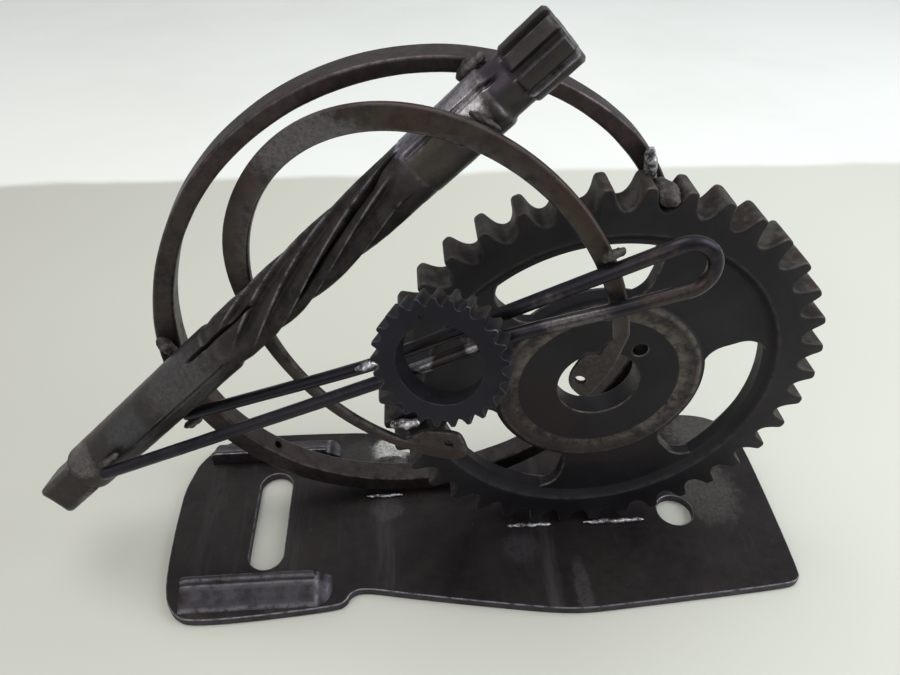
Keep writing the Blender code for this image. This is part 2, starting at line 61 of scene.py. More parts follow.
# Large toothed wheel
WHEEL_CENTRE = (40.5, -11.2, 82.0)
WHEEL_WIDTH = 12.0
WHEEL_TEETH = 38
WHEEL_FIRST_TOOTH = 143.4
WHEEL_TOOTH = [(0.0, 77.75), (0.4, 77.74), (0.8, 77.62), (1.15, 77.3), (1.4, 76.8), (1.65, 75.7),
               (2.0, 74.0), (2.4, 72.7), (2.9, 71.6), (3.5, 70.8), (4.1, 70.35), (4.7, 70.2)]
RIM_INNER = 62.3
WEB = (61.0, 34.8, -2.3, -7.2)
BOSS_RADII = (36.6, 35.8, 28.4)
BORE_RADIUS = 14.4
DOWEL = (19.6, 50.0, 2.6)
WINDOWS = [(75.0, 136.0), (-48.5, 19.0), (-165.5, -100.5)]
WINDOW_RADII = (37.2, 58.6)
WINDOW_CORNER = 8.0

# Small toothed wheel
PINION_CENTRE = (-17.7, -44.8, 125.7)
PINION_LEAN = (-17.1, 13.8)
PINION_WIDTH = 8.5
PINION_TEETH = 25
PINION_FIRST_TOOTH = -2.8
PINION_TOOTH = [(0.0, 19.8), (1.3, 19.78), (2.0, 19.62), (2.6, 19.2), (3.2, 18.7), (3.9, 18.3),
                (4.7, 17.9), (5.7, 17.6), (6.7, 17.5)]
PINION_BORE = 12.4
KEYWAY = (111.0, 1.25, 15.0)

# Large ring
HOOP_CENTRE = (-21.8, 3.1, 99.5)
HOOP_LEAN = (1.9, -3.9)
HOOP_RADII = (91.8, 85.2)
HOOP_SHIFT = (0.7, 2.0)
HOOP_WIDTH = 9.0
HOOP_OVAL = (0.047, 73.0)
HOOP_BULGES = [(190.0, 20.0, 1.3), (44.0, 12.0, 1.2)]
HOOP_HOLE = (-133.0, 1.7)

# Small open ring
CLIP_CENTRE = (-22.2, -18.8, 123.6)
CLIP_LEAN = (-18.6, -0.3)
CLIP_RADII = (63.2, 57.5)
CLIP_SHIFT = (0.8, -1.5)
CLIP_WIDTH = 2.3
CLIP_OVAL = (0.031, 118.0)
CLIP_BULGES = [(172.0, 22.0, 1.9)]
CLIP_SPAN = (4.0, 262.0)
CLIP_EYE_RIGHT = [(60.8, -0.4), (59.4, -7.6), (56.2, -16.2), (53.4, -21.6), (51.4, -22.4), (47.4, -19.2),
                  (46.4, -15.2), (48.2, -9.6), (50.2, -5.2), (53.2, -4.8), (54.8, -4.0), (55.4, -1.4)]
CLIP_EYE_BELOW = [(-2.0, -64.2), (5.7, -64.9), (12.0, -63.6), (16.5, -60.2), (14.1, -52.2), (11.7, -50.2),
                  (4.0, -51.2), (-1.5, -53.0), (-4.6, -57.0)]
CLIP_HOLES = [(50.2, -15.4), (9.1, -56.0)]
CLIP_HOLE_RADIUS = 1.5

# Fluted shaft, by distance along its axis
SHAFT_POINT = (-109.7, -9.5, 84.0)
SHAFT_AXIS = (0.7249, -0.0138, 0.6887)
TANG = (-68.5, -48.6, 6.8, 35.0)
SHANK = (-48.0, 33.6, 9.0)
FLUTES = (40.0, 120.0, 8.8, 8.4)
FLUTE_TURN = 2.9
FLUTE_TURN_LOSS = 0.0095
# angles of the lands where the flutes start, and depth by share of the way from one land to the next
LANDS = [2.0, 47.0, 92.0, 137.0, 182.0, 214.0, 259.0, 309.0]
FLUTE_FORM = [(0.0, 0.0), (0.03, 0.1), (0.08, 1.0), (0.13, 2.0), (0.19, 2.4), (0.27, 2.3), (0.42, 1.75),
              (0.6, 1.1), (0.78, 0.5), (0.9, 0.12), (0.97, 0.0), (1.0, 0.0)]
# narrow slits: first and last distance, angle where the flutes start, whether it turns with them
SLITS = [(67.0, 124.0, 190.0, 1.0), (23.0, 58.0, 46.5, 0.0)]
SHANK_GROOVE = (-20.0, 33.6, 101.5)
COLLAR_GROOVE = 42.0
COLLAR = (122.5, 150.0, 8.6)
NECK_RADIUS = 7.6
HEAD = (157.0, 172.5, 8.5)
HEAD_GROOVES = (8, 21.0)
SHAFT_STEP = 0.8

# Hairpin rod
ROD_RADIUS = 2.1
ROD_UPPER_LEG = [(-106.1, -6.3, 72.3), (-36.6, -22.4, 107.0), (-28.6, -24.3, 113.1)]
ROD_LOWER_LEG = [(32.8, -40.1, 139.6), (0.0, -36.2, 127.8), (-16.9, -34.2, 117.6), (-134.1, -21.0, 59.8)]
ROD_BEND = ((46.0, -41.7, 152.8), 7.6, 123.0, -69.0)

# Weld deposits: name, centre, half sizes, turn about Y in degrees
WELDS = [
    ("weld_wheel_foot_left", (21.0, -12.4, 5.0), (8.0, 0.9, 0.9), 0.0),
    ("weld_wheel_foot_right", (57.0, -12.4, 5.0), (12.0, 0.9, 0.9), 0.0),
    ("weld_large_ring_foot_front", (-39.5, 6.8, 4.8), (6.5, 0.9, 0.8), 0.0),
    ("weld_large_ring_foot_back", (-39.0, 23.6, 5.6), (8.5, 5.0, 1.6), 0.0),
    ("weld_large_ring_to_wheel_top", (46.3, -2.3, 162.8), (2.0, 2.5, 4.4), -12.0),
    ("weld_large_ring_to_wheel_gap", (51.2, -5.7, 155.3), (4.2, 5.3, 3.0), 10.0),
    ("weld_large_ring_to_collar_left", (-7.0, -4.4, 192.3), (3.7, 3.2, 2.1), -43.5),
    ("weld_large_ring_to_collar_right", (12.5, -3.9, 188.8), (2.3, 2.5, 3.3), 0.0),
    ("weld_large_ring_to_shank", (-106.5, -2.5, 101.0), (2.3, 2.6, 3.5), -30.0),
    ("weld_open_ring_to_collar", (-4.7, -21.0, 184.5), (3.6, 1.2, 1.1), 30.0),
    ("weld_open_ring_to_wheel", (-28.4, -13.2, 70.2), (4.2, 1.9, 2.2), 0.0),
    ("weld_open_ring_to_rod", (27.6, -38.1, 155.2), (2.4, 1.6, 1.5), -33.0),
    ("weld_rod_lower_end", (-130.6, -20.0, 66.0), (4.2, 1.5, 1.3), -35.0),
    ("weld_rod_upper_end", (-103.9, -7.5, 69.8), (2.9, 1.9, 1.5), -28.0),
    ("weld_small_wheel_left", (-37.8, -33.4, 116.4), (3.4, 1.4, 1.2), -20.0),
    ("weld_small_wheel_bore", (-8.0, -37.0, 128.4), (2.6, 1.8, 1.6), 0.0),
]

BRIGHT_WELDS = ("weld_large_ring_to_wheel_top", "weld_small_wheel_left", "weld_open_ring_to_wheel",
                "weld_large_ring_foot_front",                 "weld_wheel_foot_left", "weld_wheel_foot_right")

# Camera and table
CAMERA_PLACE = (-24.5, -188.5, 254.4)
CAMERA_FORWARD = (0.0524, 0.7693, -0.6368)
CAMERA_ROLL = 0.3
CAMERA_LENS = 28.32
TABLE_BACK_Y = 0.32


# ---------------------------------------------------------------- outlines

def polar(radius, degrees):
    angle = math.radians(degrees)
    return (radius * math.cos(angle), radius * math.sin(angle))


def arc(centre, radius, start, stop, steps):
    points = []
    for step in range(steps + 1):
        x, y = polar(radius, start + (stop - start) * step / steps)
        points.append((centre[0] + x, centre[1] + y))
    return points


def circle(centre, radius, steps):
    return arc(centre, radius, 0.0, 360.0 - 360.0 / steps, steps - 1)


def oval(radius, degrees, form):
    amount, longest = form
    return radius * (1.0 + amount * math.cos(2.0 * math.radians(degrees - longest)))


def bulge(degrees, bulges):
    """How far the bar is hammered wider at an angle."""
    return sum(height * math.exp(-((degrees - middle) / spread) ** 2) for middle, spread, height in bulges)


def oval_arc(radius, start, stop, steps, form, shift=(0.0, 0.0), bulges=()):
    points = []
    for step in range(steps + 1):
        angle = start + (stop - start) * step / steps
        x, y = polar(oval(radius, angle, form) + bulge(angle, bulges), angle)
        points.append((x + shift[0], y + shift[1]))
    return points


def facing(centre, lean):
    """Local Z looks out of the front face, X to the right and Y up the face."""
    azimuth, tilt = lean
    turn = Matrix.Rotation(math.radians(azimuth), 4, 'Z')
    back = Matrix.Rotation(math.radians(90.0 - tilt), 4, 'X')
    return Matrix.Translation(Vector(centre) * MM) @ turn @ back


def cut_corners(points, rounds, closed=True):
    """Rounds the corners of an outline by cutting each at a quarter of its sides."""
    for _ in range(rounds):
        cut = [] if closed else [points[0]]
        last = len(points) if closed else len(points) - 1
        for index in range(last):
            a, b = Vector(points[index]), Vector(points[(index + 1) % len(points)])
            cut += [tuple(a.lerp(b, 0.25)), tuple(a.lerp(b, 0.75))]
        points = cut if closed else cut + [points[-1]]
    return points


def between(table, value):
    """Reads a list of (place, number) pairs at a place between two of them."""
    if value <= table[0][0]:
        return table[0][1]
    for (x0, y0), (x1, y1) in zip(table, table[1:]):
        if value <= x1:
            return y0 + (y1 - y0) * (value - x0) / (x1 - x0)
    return table[-1][1]


def ease(low, high, value):
    share = min(1.0, max(0.0, (value - low) / (high - low)))
    return share * share * (3.0 - 2.0 * share)


def kidney(inner, outer, start, stop, corner):
    """A curved window between two radii and two angles, with round corners."""
    far = outer - corner
    near = inner + corner
    far_lean = math.degrees(math.asin(corner / far))
    near_lean = math.degrees(math.asin(corner / near))
    points = arc(polar(far, start + far_lean), corner, start - 90.0, start + far_lean, 12)
    points += arc((0.0, 0.0), outer, start + far_lean + 2.0, stop - far_lean - 2.0, 24)
    points += arc(polar(far, stop - far_lean), corner, stop - far_lean, stop + 90.0, 12)
    points += arc(polar(near, stop - near_lean), corner, stop + 90.0, stop - near_lean + 180.0, 10)
    points += arc((0.0, 0.0), inner, stop - near_lean - 2.0, start + near_lean + 2.0, 18)
    points += arc(polar(near, start + near_lean), corner, start + near_lean + 180.0, start + 270.0, 10)
    return points


def tooth_outline(count, first, half_tooth):
    """A wheel's outline from half a tooth, given as (degrees from its middle, radius)."""
    both = [(-degrees, radius) for degrees, radius in reversed(half_tooth[1:])] + half_tooth
    points = []
    for tooth in range(count):
        middle = first + tooth * 360.0 / count
        points += [polar(radius, middle + degrees) for degrees, radius in both]
    return points


def inset(points, distance):
    """Moves each point of a counter-clockwise outline inwards."""
    moved = []
    for index, (x, y) in enumerate(points):
        x0, y0 = points[index - 1]
        x1, y1 = points[(index + 1) % len(points)]
        length = math.hypot(x1 - x0, y1 - y0)
        moved.append((x - (y1 - y0) / length * distance, y + (x1 - x0) / length * distance))
    return moved


def rounded_box(half_x, half_y, corner, steps):
    """Section of a bar with rounded edges."""
    points = []
    for centre_x, centre_y, start in ((1, 1, 0), (-1, 1, 90), (-1, -1, 180), (1, -1, 270)):
        centre = (centre_x * (half_x - corner), centre_y * (half_y - corner))
        points += arc(centre, corner, start, start + 90, steps)
    return points


def wander(place, scale, seed=0.0):
    """Smooth noise between about -1 and 1 at a point in millimetres."""
    return noise.noise(Vector(place) * scale + Vector((seed, -seed, 2.0 * seed)))


# ---------------------------------------------------------------- meshes

class Shape:
    """Points in millimetres, faces, and two marks for each point: wear, and grime that also carries painted shade and
    sheen.
    """

    def __init__(self):
        self.points = []
        self.faces = []
        self.wear = []
        self.grime_and_painted_light = []

    def loft(self, rows, wear, grime_and_painted_light=None, ring=False, caps=False):
        """Skins closed rows of points. Marks are given once a row or once a point."""
        first = len(self.points)
        count = len(rows[0])
        grime_and_painted_light = grime_and_painted_light or [0.0] * len(rows)
        for row, worn, dirt_and_painted_light in zip(rows, wear, grime_and_painted_light):
            self.points += [tuple(point) for point in row]
            self.wear += worn if isinstance(worn, list) else [worn] * count
            self.grime_and_painted_light += dirt_and_painted_light if isinstance(dirt_and_painted_light, list) else [dirt_and_painted_light] * count
        for index in range(len(rows) if ring else len(rows) - 1):
            a = first + index * count
            b = first + (index + 1) % len(rows) * count
            for side in range(count):
                after = (side + 1) % count
                self.faces.append((a + side, a + after, b + after, b + side))
        if caps:
            last = first + (len(rows) - 1) * count
            self.faces.append(tuple(range(first, first + count))[::-1])
            self.faces.append(tuple(range(last, last + count)))

    def turned(self, profile, steps):
        """A closed (radius, height, wear) profile turned round local Z."""
        rows = []
        for step in range(steps):
            angle = FULL_TURN * step / steps
            rows.append([(r * math.cos(angle), r * math.sin(angle), z) for r, z, _ in profile])
        self.loft(rows, [[worn for _, _, worn in profile]] * steps, ring=True)

    def flat(self, loops, front, back, bevel, steps=2):
        """A flat solid with bevelled edges, from an outline and its holes."""
        curve = bpy.data.curves.new("flat", 'CURVE')
        curve.dimensions = '2D'
        curve.fill_mode = 'BOTH'
        curve.extrude = abs(front - back) / 2.0 - bevel
        curve.bevel_depth = bevel
        curve.bevel_resolution = steps
        curve.offset = -bevel
        for loop in loops:
            spline = curve.splines.new('POLY')
            spline.points.add(len(loop) - 1)
            for point, (x, y) in zip(spline.points, loop):
                point.co = (x, y, 0.0, 1.0)
            spline.use_cyclic_u = True
        guide = bpy.data.objects.new("flat", curve)
        bpy.context.scene.collection.objects.link(guide)
        bpy.context.view_layer.update()
        mesh = bpy.data.meshes.new_from_object(guide.evaluated_get(bpy.context.evaluated_depsgraph_get()))
        middle = (front + back) / 2.0
        low, high = curve.extrude + bevel * 0.05, curve.extrude + bevel * 0.95
        first = len(self.points)
        for vertex in mesh.vertices:
            x, y, z = vertex.co
            self.points.append((x, y, z + middle))
            self.wear.append(1.0 if low < abs(z) < high else 0.0)
            self.grime_and_painted_light.append(0.0)
        for face in mesh.polygons:
            self.faces.append(tuple(first + index for index in face.vertices))
        bpy.data.objects.remove(guide, do_unlink=True)
        bpy.data.meshes.remove(mesh)

    def mesh(self, name):
        mesh = bpy.data.meshes.new(name)
        mesh.from_pydata([Vector(point) * MM for point in self.points], [], self.faces)
        for label, values in (("wear", self.wear), ("grime_and_painted_light", self.grime_and_painted_light)):
            mesh.attributes.new(label, 'FLOAT', 'POINT').data.foreach_set("value", values)
        solid = bmesh.new()
        solid.from_mesh(mesh)
        bmesh.ops.remove_doubles(solid, verts=solid.verts, dist=0.002 * MM)
        bmesh.ops.recalc_face_normals(solid, faces=solid.faces)
        solid.to_mesh(mesh)
        solid.free()
        return mesh


def add_piece(name, mesh, material, nodes=(), matrix=Matrix.Identity(4), sharp=38.0):
    """Places a finished mesh, smooths it, parents it to the root body and hides the model parts it replaces."""
    mesh.shade_smooth()
    mesh.set_sharp_from_angle(angle=math.radians(sharp))
    mesh.materials.clear()
    mesh.materials.append(material)
    piece = bpy.data.objects.new(name, mesh)
    bpy.context.scene.collection.objects.link(piece)
    piece.matrix_world = matrix
    weighted = piece.modifiers.new("even_shading", 'WEIGHTED_NORMAL')
    weighted.keep_sharp = True
    weighted.weight = 60
    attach(piece, "root")
    if nodes:
        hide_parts(*nodes)
    return piece


# ---------------------------------------------------------------- materials

class Graph:
    """Writes a material's nodes one call at a time."""

    def __init__(self, name):
        self.material = bpy.data.materials.new(name)
        self.material.use_nodes = True
        self.nodes = self.material.node_tree.nodes
        self.links = self.material.node_tree.links
        self.shader = self.nodes["Principled BSDF"]
        self.coords = self.nodes.new('ShaderNodeTexCoord').outputs["Object"]

    def put(self, socket, value):
        if isinstance(value, bpy.types.NodeSocket):
            self.links.new(value, socket)
        elif isinstance(value, tuple) and len(value) == 3 and socket.type == 'RGBA':
            socket.default_value = (*value, 1.0)
        else:
            socket.default_value = value

    def math(self, operation, a, b=0.5, clamp=False):
        node = self.nodes.new('ShaderNodeMath')
        node.operation = operation
        node.use_clamp = clamp
        self.put(node.inputs[0], a)
        self.put(node.inputs[1], b)
        return node.outputs[0]

    def mask(self, value, low, high, top=1.0):
        """0 below low and top above high, smoothly between."""
        node = self.nodes.new('ShaderNodeMapRange')
        node.interpolation_type = 'SMOOTHSTEP'
        self.put(node.inputs["Value"], value)
        node.inputs["From Min"].default_value = low
        node.inputs["From Max"].default_value = high
        node.inputs["To Max"].default_value = top
        return node.outputs["Result"]

    def noise(self, scale, detail=4.0, rough=0.55, stretch=None, warp=0.0):
        node = self.nodes.new('ShaderNodeTexNoise')
        node.inputs["Scale"].default_value = scale
        node.inputs["Detail"].default_value = detail
        node.inputs["Roughness"].default_value = rough
        node.inputs["Distortion"].default_value = warp
        self.links.new(self.stretched(stretch) if stretch else self.coords, node.inputs["Vector"])
        return node.outputs["Fac"]

    def stretched(self, stretch):
        """Object coordinates turned (degrees round X, Y, Z) and scaled along each axis."""
        turn, scale = stretch
        node = self.nodes.new('ShaderNodeMapping')
        node.inputs["Rotation"].default_value = tuple(math.radians(angle) for angle in turn)
        node.inputs["Scale"].default_value = scale
        self.links.new(self.coords, node.inputs["Vector"])
        return node.outputs["Vector"]

    def mix(self, share, a, b):
        node = self.nodes.new('ShaderNodeMix')
        node.data_type = 'RGBA'
        self.put(node.inputs["Factor"], share)
        self.put(node.inputs[6], a)
        self.put(node.inputs[7], b)
        return node.outputs[2]

    def blend(self, share, a, b):
        node = self.nodes.new('ShaderNodeMix')
        self.put(node.inputs["Factor"], share)
        self.put(node.inputs[2], a)
        self.put(node.inputs[3], b)
        return node.outputs[0]

    def mark(self, name):
        node = self.nodes.new('ShaderNodeAttribute')
        node.attribute_name = name
        return node.outputs["Fac"]

    def up(self):
        """How far the surface faces up, from -1 to 1."""
        split = self.nodes.new('ShaderNodeSeparateXYZ')
        self.links.new(self.nodes.new('ShaderNodeNewGeometry').outputs["Normal"], split.inputs[0])
        return split.outputs["Z"]

    def spot(self, centre, radii, ragged=0.0):
        """1 inside an ellipsoid in the piece's own frame, in millimetres, fading to 0 outside."""
        away = self.nodes.new('ShaderNodeVectorMath')
        away.operation = 'SUBTRACT'
        self.links.new(self.coords, away.inputs[0])
        away.inputs[1].default_value = Vector(centre) * MM
        scaled = self.nodes.new('ShaderNodeVectorMath')
        scaled.operation = 'DIVIDE'
        self.links.new(away.outputs[0], scaled.inputs[0])
        scaled.inputs[1].default_value = Vector(radii) * MM
        length = self.nodes.new('ShaderNodeVectorMath')
        length.operation = 'LENGTH'
        self.links.new(scaled.outputs[0], length.inputs[0])
        distance = length.outputs["Value"]
        if ragged:
            rough = self.math('SUBTRACT', self.noise(260.0, 5.0, 0.7), 0.5)
            distance = self.math('ADD', distance, self.math('MULTIPLY', rough, ragged))
        return self.math('SUBTRACT', 1.0, self.mask(distance, 0.55, 1.0))

    def bump(self, height, strength, distance, below=None):
        node = self.nodes.new('ShaderNodeBump')
        node.inputs["Strength"].default_value = strength
        node.inputs["Distance"].default_value = distance * MM
        self.links.new(height, node.inputs["Height"])
        if below is not None:
            self.links.new(below, node.inputs["Normal"])
        return node.outputs["Normal"]


def steel(name, colours, metallic=0.5, roughness=(0.34, 0.6), wear=(0.3, 0.9), grime_and_painted_light=0.0, dust_and_top_light=0.4,
          rust=0.2, pits=0.3, streak=None, spots=()):
    """Dark handled steel. Colours: base, shade, rust, dust and painted top light, worn, grime and painted shade and
    sheen.
    Spots are (centre, radii, colour, strength, roughness, metallic)."""
    base, shade, rust_colour, dust_and_top_light_colour, worn, grime_and_painted_light_colour = colours
    graph = Graph(name)
    broad = graph.noise(28.0, 4.0, 0.6)
    mottle = graph.noise(210.0, 6.0, 0.68, warp=0.4)
    grain = graph.noise(1500.0, 3.0, 0.6)
    colour = graph.mix(graph.mask(broad, 0.38, 0.64), base, shade)
    colour = graph.mix(graph.mask(mottle, 0.5, 0.74, 0.55), colour, shade)
    rusty = graph.mask(graph.noise(95.0, 7.0, 0.72), 0.66 - 0.3 * rust, 0.8 - 0.22 * rust, min(1.0, 2.2 * rust))
    colour = graph.mix(rusty, colour, rust_colour)
    rough = graph.blend(mottle, *roughness)
    rough = graph.blend(rusty, rough, 0.82)
    metal = graph.blend(rusty, metallic, 0.12)
    if streak:
        lines = graph.mask(graph.noise(60.0, 5.0, 0.7, stretch=streak), 0.54, 0.74, 0.75)
        colour = graph.mix(lines, colour, dust_and_top_light_colour)
        rough = graph.blend(lines, rough, 0.6)
    # The grime mark: real grime on most pieces, painted shade in the shaft's slits and grooves, and painted sheen on
    # the plate's rib slopes.
    if grime_and_painted_light:
        dirt_and_painted_light = graph.math('MULTIPLY', graph.mark("grime_and_painted_light"), graph.mask(graph.noise(170.0, 6.0, 0.7), 0.28, 0.6, grime_and_painted_light))
        colour = graph.mix(dirt_and_painted_light, colour, graph.mix(graph.mask(graph.noise(120.0, 5.0, 0.65), 0.4, 0.62),
                                                    grime_and_painted_light_colour, rust_colour))
        rough = graph.blend(dirt_and_painted_light, rough, 0.66)
        metal = graph.blend(dirt_and_painted_light, metal, 0.25)
    # Upward faces get dust and also painted top light: they are lightened as if lit from above.
    upward = graph.mask(graph.up(), 0.25, 0.95, dust_and_top_light)
    dust_and_top_light_share = graph.math('MULTIPLY', upward, graph.mask(graph.noise(130.0, 7.0, 0.72), 0.36, 0.66))
    colour = graph.mix(dust_and_top_light_share, colour, dust_and_top_light_colour)
    rough = graph.blend(dust_and_top_light_share, rough, 0.74)
    metal = graph.blend(dust_and_top_light_share, metal, 0.1)
    low, amount = wear
    rubbed_and_sheen = graph.math('MULTIPLY', graph.mark("wear"), graph.mask(graph.noise(240.0, 6.0, 0.7), low, low + 0.3, amount))
    colour = graph.mix(rubbed_and_sheen, colour, worn)
    rough = graph.blend(rubbed_and_sheen, rough, 0.3)
    metal = graph.blend(rubbed_and_sheen, metal, 0.85)
    for centre, radii, spot_colour, strength, spot_rough, spot_metal in spots:
        grainy = graph.mask(graph.noise(850.0, 5.0, 0.8), 0.2, 0.66, strength)
        share = graph.math('MULTIPLY', graph.spot(centre, radii, 1.1), grainy)
        colour = graph.mix(share, colour, spot_colour)
        rough = graph.blend(share, rough, spot_rough)
        metal = graph.blend(share, metal, spot_metal)
    scratch = graph.noise(900.0, 2.0, 0.5, stretch=((0.0, 32.0, 0.0), (1.0, 1.0, 0.06)))
    scraped = graph.mask(scratch, 0.72, 0.80, 0.16)
    colour = graph.mix(scraped, colour, worn)
    normal = graph.bump(graph.noise(45.0, 3.0, 0.5), 0.5, 0.6)
    normal = graph.bump(mottle, 0.5, pits, normal)
    normal = graph.bump(grain, 0.35, 0.06, normal)
    graph.put(graph.shader.inputs["Base Color"], colour)
    graph.put(graph.shader.inputs["Roughness"], rough)
    graph.put(graph.shader.inputs["Metallic"], metal)
    graph.put(graph.shader.inputs["Specular IOR Level"], 0.3)
    graph.put(graph.shader.inputs["Normal"], normal)
    return graph.material


def weld_metal(name, shine_from):
    """Dark oxide and straw or blue tints, with bright rubbed metal on the bead's crests, kept to upward faces as a
    painted highlight.
    """
    graph = Graph(name)
    broad = graph.noise(190.0, 5.0, 0.65)
    fine = graph.noise(1300.0, 4.0, 0.65)
    tint = graph.mix(graph.mask(graph.noise(150.0, 3.0, 0.5), 0.4, 0.6), (0.090, 0.076, 0.066), (0.084, 0.078, 0.076))
    colour = graph.mix(graph.mask(broad, 0.4, 0.6), (0.028, 0.022, 0.021), tint)
    crest = graph.mask(graph.noise(230.0, 6.0, 0.7), shine_from, shine_from + 0.14)
    # Painted highlight: the bright crests show only where the bead faces up, as if lit from above.
    shine = graph.math('MULTIPLY', crest, graph.mask(graph.up(), -0.4, 0.6))
    colour = graph.mix(shine, colour, (0.56, 0.54, 0.58))
    graph.put(graph.shader.inputs["Base Color"], colour)
    graph.put(graph.shader.inputs["Metallic"], graph.blend(shine, 0.4, 0.9))
    graph.put(graph.shader.inputs["Roughness"], graph.blend(shine, 0.6, 0.3))
    normal = graph.bump(broad, 0.6, 0.3)
    graph.put(graph.shader.inputs["Normal"], graph.bump(fine, 0.5, 0.08, normal))
    return graph.material


def table_top(name):
    """Pale matt board, brighter and bluer beyond its back edge, with painted shade towards the left and painted light
    towards the right.
    """
    graph = Graph(name)
    split = graph.nodes.new('ShaderNodeSeparateXYZ')
    graph.links.new(graph.coords, split.inputs[0])
    wavy = graph.math('MULTIPLY', graph.math('SUBTRACT', graph.noise(6.0, 3.0), 0.5), 0.03)
    depth = graph.math('ADD', split.outputs["Y"], wavy)
    beyond = graph.mask(depth, TABLE_BACK_Y - 0.006, TABLE_BACK_Y + 0.006)
    # Painted light and shade: the board and the backdrop beyond it darken towards the left and brighten towards the
    # right.
    across = graph.mask(split.outputs["X"], -0.42, 0.30)
    near = graph.mix(across, (0.525, 0.515, 0.455), (0.70, 0.705, 0.63))
    far = graph.mix(across, (0.86, 0.87, 0.825), (0.93, 0.95, 0.92))
    colour = graph.mix(beyond, near, far)
    colour = graph.mix(graph.mask(graph.noise(5.0, 4.0, 0.6), 0.4, 0.7, 0.12), colour, (0.60, 0.60, 0.55))
    speck = graph.mask(graph.noise(420.0, 3.0, 0.7), 0.76, 0.84, 0.3)
    colour = graph.mix(speck, colour, (0.5, 0.5, 0.46))
    graph.put(graph.shader.inputs["Base Color"], colour)
    graph.put(graph.shader.inputs["Roughness"], graph.blend(graph.noise(40.0, 4.0), 0.55, 0.75))
    graph.put(graph.shader.inputs["Normal"], graph.bump(graph.noise(260.0, 4.0, 0.6), 0.12, 0.3))
    return graph.material


# ---------------------------------------------------------------- pieces

def rib_slope(distance):
    """Height of the rib's outer slope at a distance from its ridge."""
    return between([(0.0, 5.2), (1.0, 5.1), (1.7, 4.7), (3.5, 4.0), (5.5, 3.2), (7.2, 2.4), (8.2, 1.7), (8.8, 0.6),
                    (9.1, -1.0)], distance)


def rib_rows(wall, side):
    """Rows along X of a formed rib: upright inner wall, narrow ridge, step and a long slope with a round end."""
    section = [(0.0, -1.0), (0.0, 6.2), (0.3, 6.8), (0.8, 7.0), (1.6, 6.95), (2.1, 6.6), (2.5, 5.5), (2.9, 5.1),
               (3.4, 5.2), (4.2, 5.1), (5.6, 4.2), (7.4, 3.4), (9.2, 2.6), (10.4, 1.8), (11.3, 1.0), (11.8, 0.2),
               (12.0, -1.0)]
    worn = [0.0, 0.2, 0.9, 0.15, 0.1, 0.8, 0.1, 0.1, 0.75, 0.25, 0.0, 0.0, 0.0, 0.1, 0.6, 0.9, 0.2]
    # Painted sheen: these marks feed the grime mark and paint the broad slope lilac grey, as if it reflected the room.
    rubbed_and_sheen = [0.0, 0.0, 0.0, 0.0, 0.0, 0.0, 0.0, 0.0, 0.4, 0.9, 1.0, 1.0, 1.0, 0.9, 0.6, 0.2, 0.0]
    rows, marks, slope_sheen = [], [], []
    start, stop = RIB_SPAN
    ridge_end = stop - RIB_ROUND_END
    steps = 90
    for step in range(steps + 1):
        x = start + (stop - start) * step / steps
        past = max(0.0, x - ridge_end) * 9.0 / RIB_ROUND_END
        drop = 0.9 * (1.0 - ease(0.0, 1.6, x - start))
        row = []
        for across, height in section:
            sway = 0.18 * wander((x, across, height), 0.12, 3.0)
            if past > 0.0:
                height = min(height, rib_slope(math.hypot(past, max(0.0, across - 3.0))))
            y = wall + side * min(max(across + sway, 0.0), 12.0)
            row.append((x, y, PLATE_THICKNESS + max(-1.0, height - drop * (height > 0.5))))
        rows.append(row if side > 0 else row[::-1])
        edge = 0.9 * math.exp(-((x - ridge_end - 0.6) / 0.7) ** 2) + 0.5 * ease(ridge_end + 2.0, stop - 1.5, x)
        mark = [min(1.0, max(value * (1.0 - ease(0.5, 1.5, past)), edge)) for value in worn]
        marks.append(mark if side > 0 else mark[::-1])
        slope_sheen.append(rubbed_and_sheen if side > 0 else rubbed_and_sheen[::-1])
    return rows, marks, slope_sheen


def build_plate(material):
    shape = Shape()
    x, half, front, back = SLOT
    slot = arc((x, back - half), half, 0.0, 180.0, 20) + arc((x, front + half), half, 180.0, 360.0, 20)
    shape.flat([cut_corners(PLATE_OUTLINE, 3), slot, circle(*HOLE, 56)], PLATE_THICKNESS, 0.0, 0.55)
    for index, (_, _, z) in enumerate(shape.points):
        if z < PLATE_THICKNESS - 0.3:
            shape.grime_and_painted_light[index] = 0.8
            shape.wear[index] *= 0.5
    for _, wall, side in RIB_WALLS:
        rows, marks, slope_sheen = rib_rows(wall, side)
        shape.loft(rows, marks, slope_sheen, caps=True)
    add_piece("formed_base_plate", shape.mesh("formed_base_plate"), material, ["base_plate"])


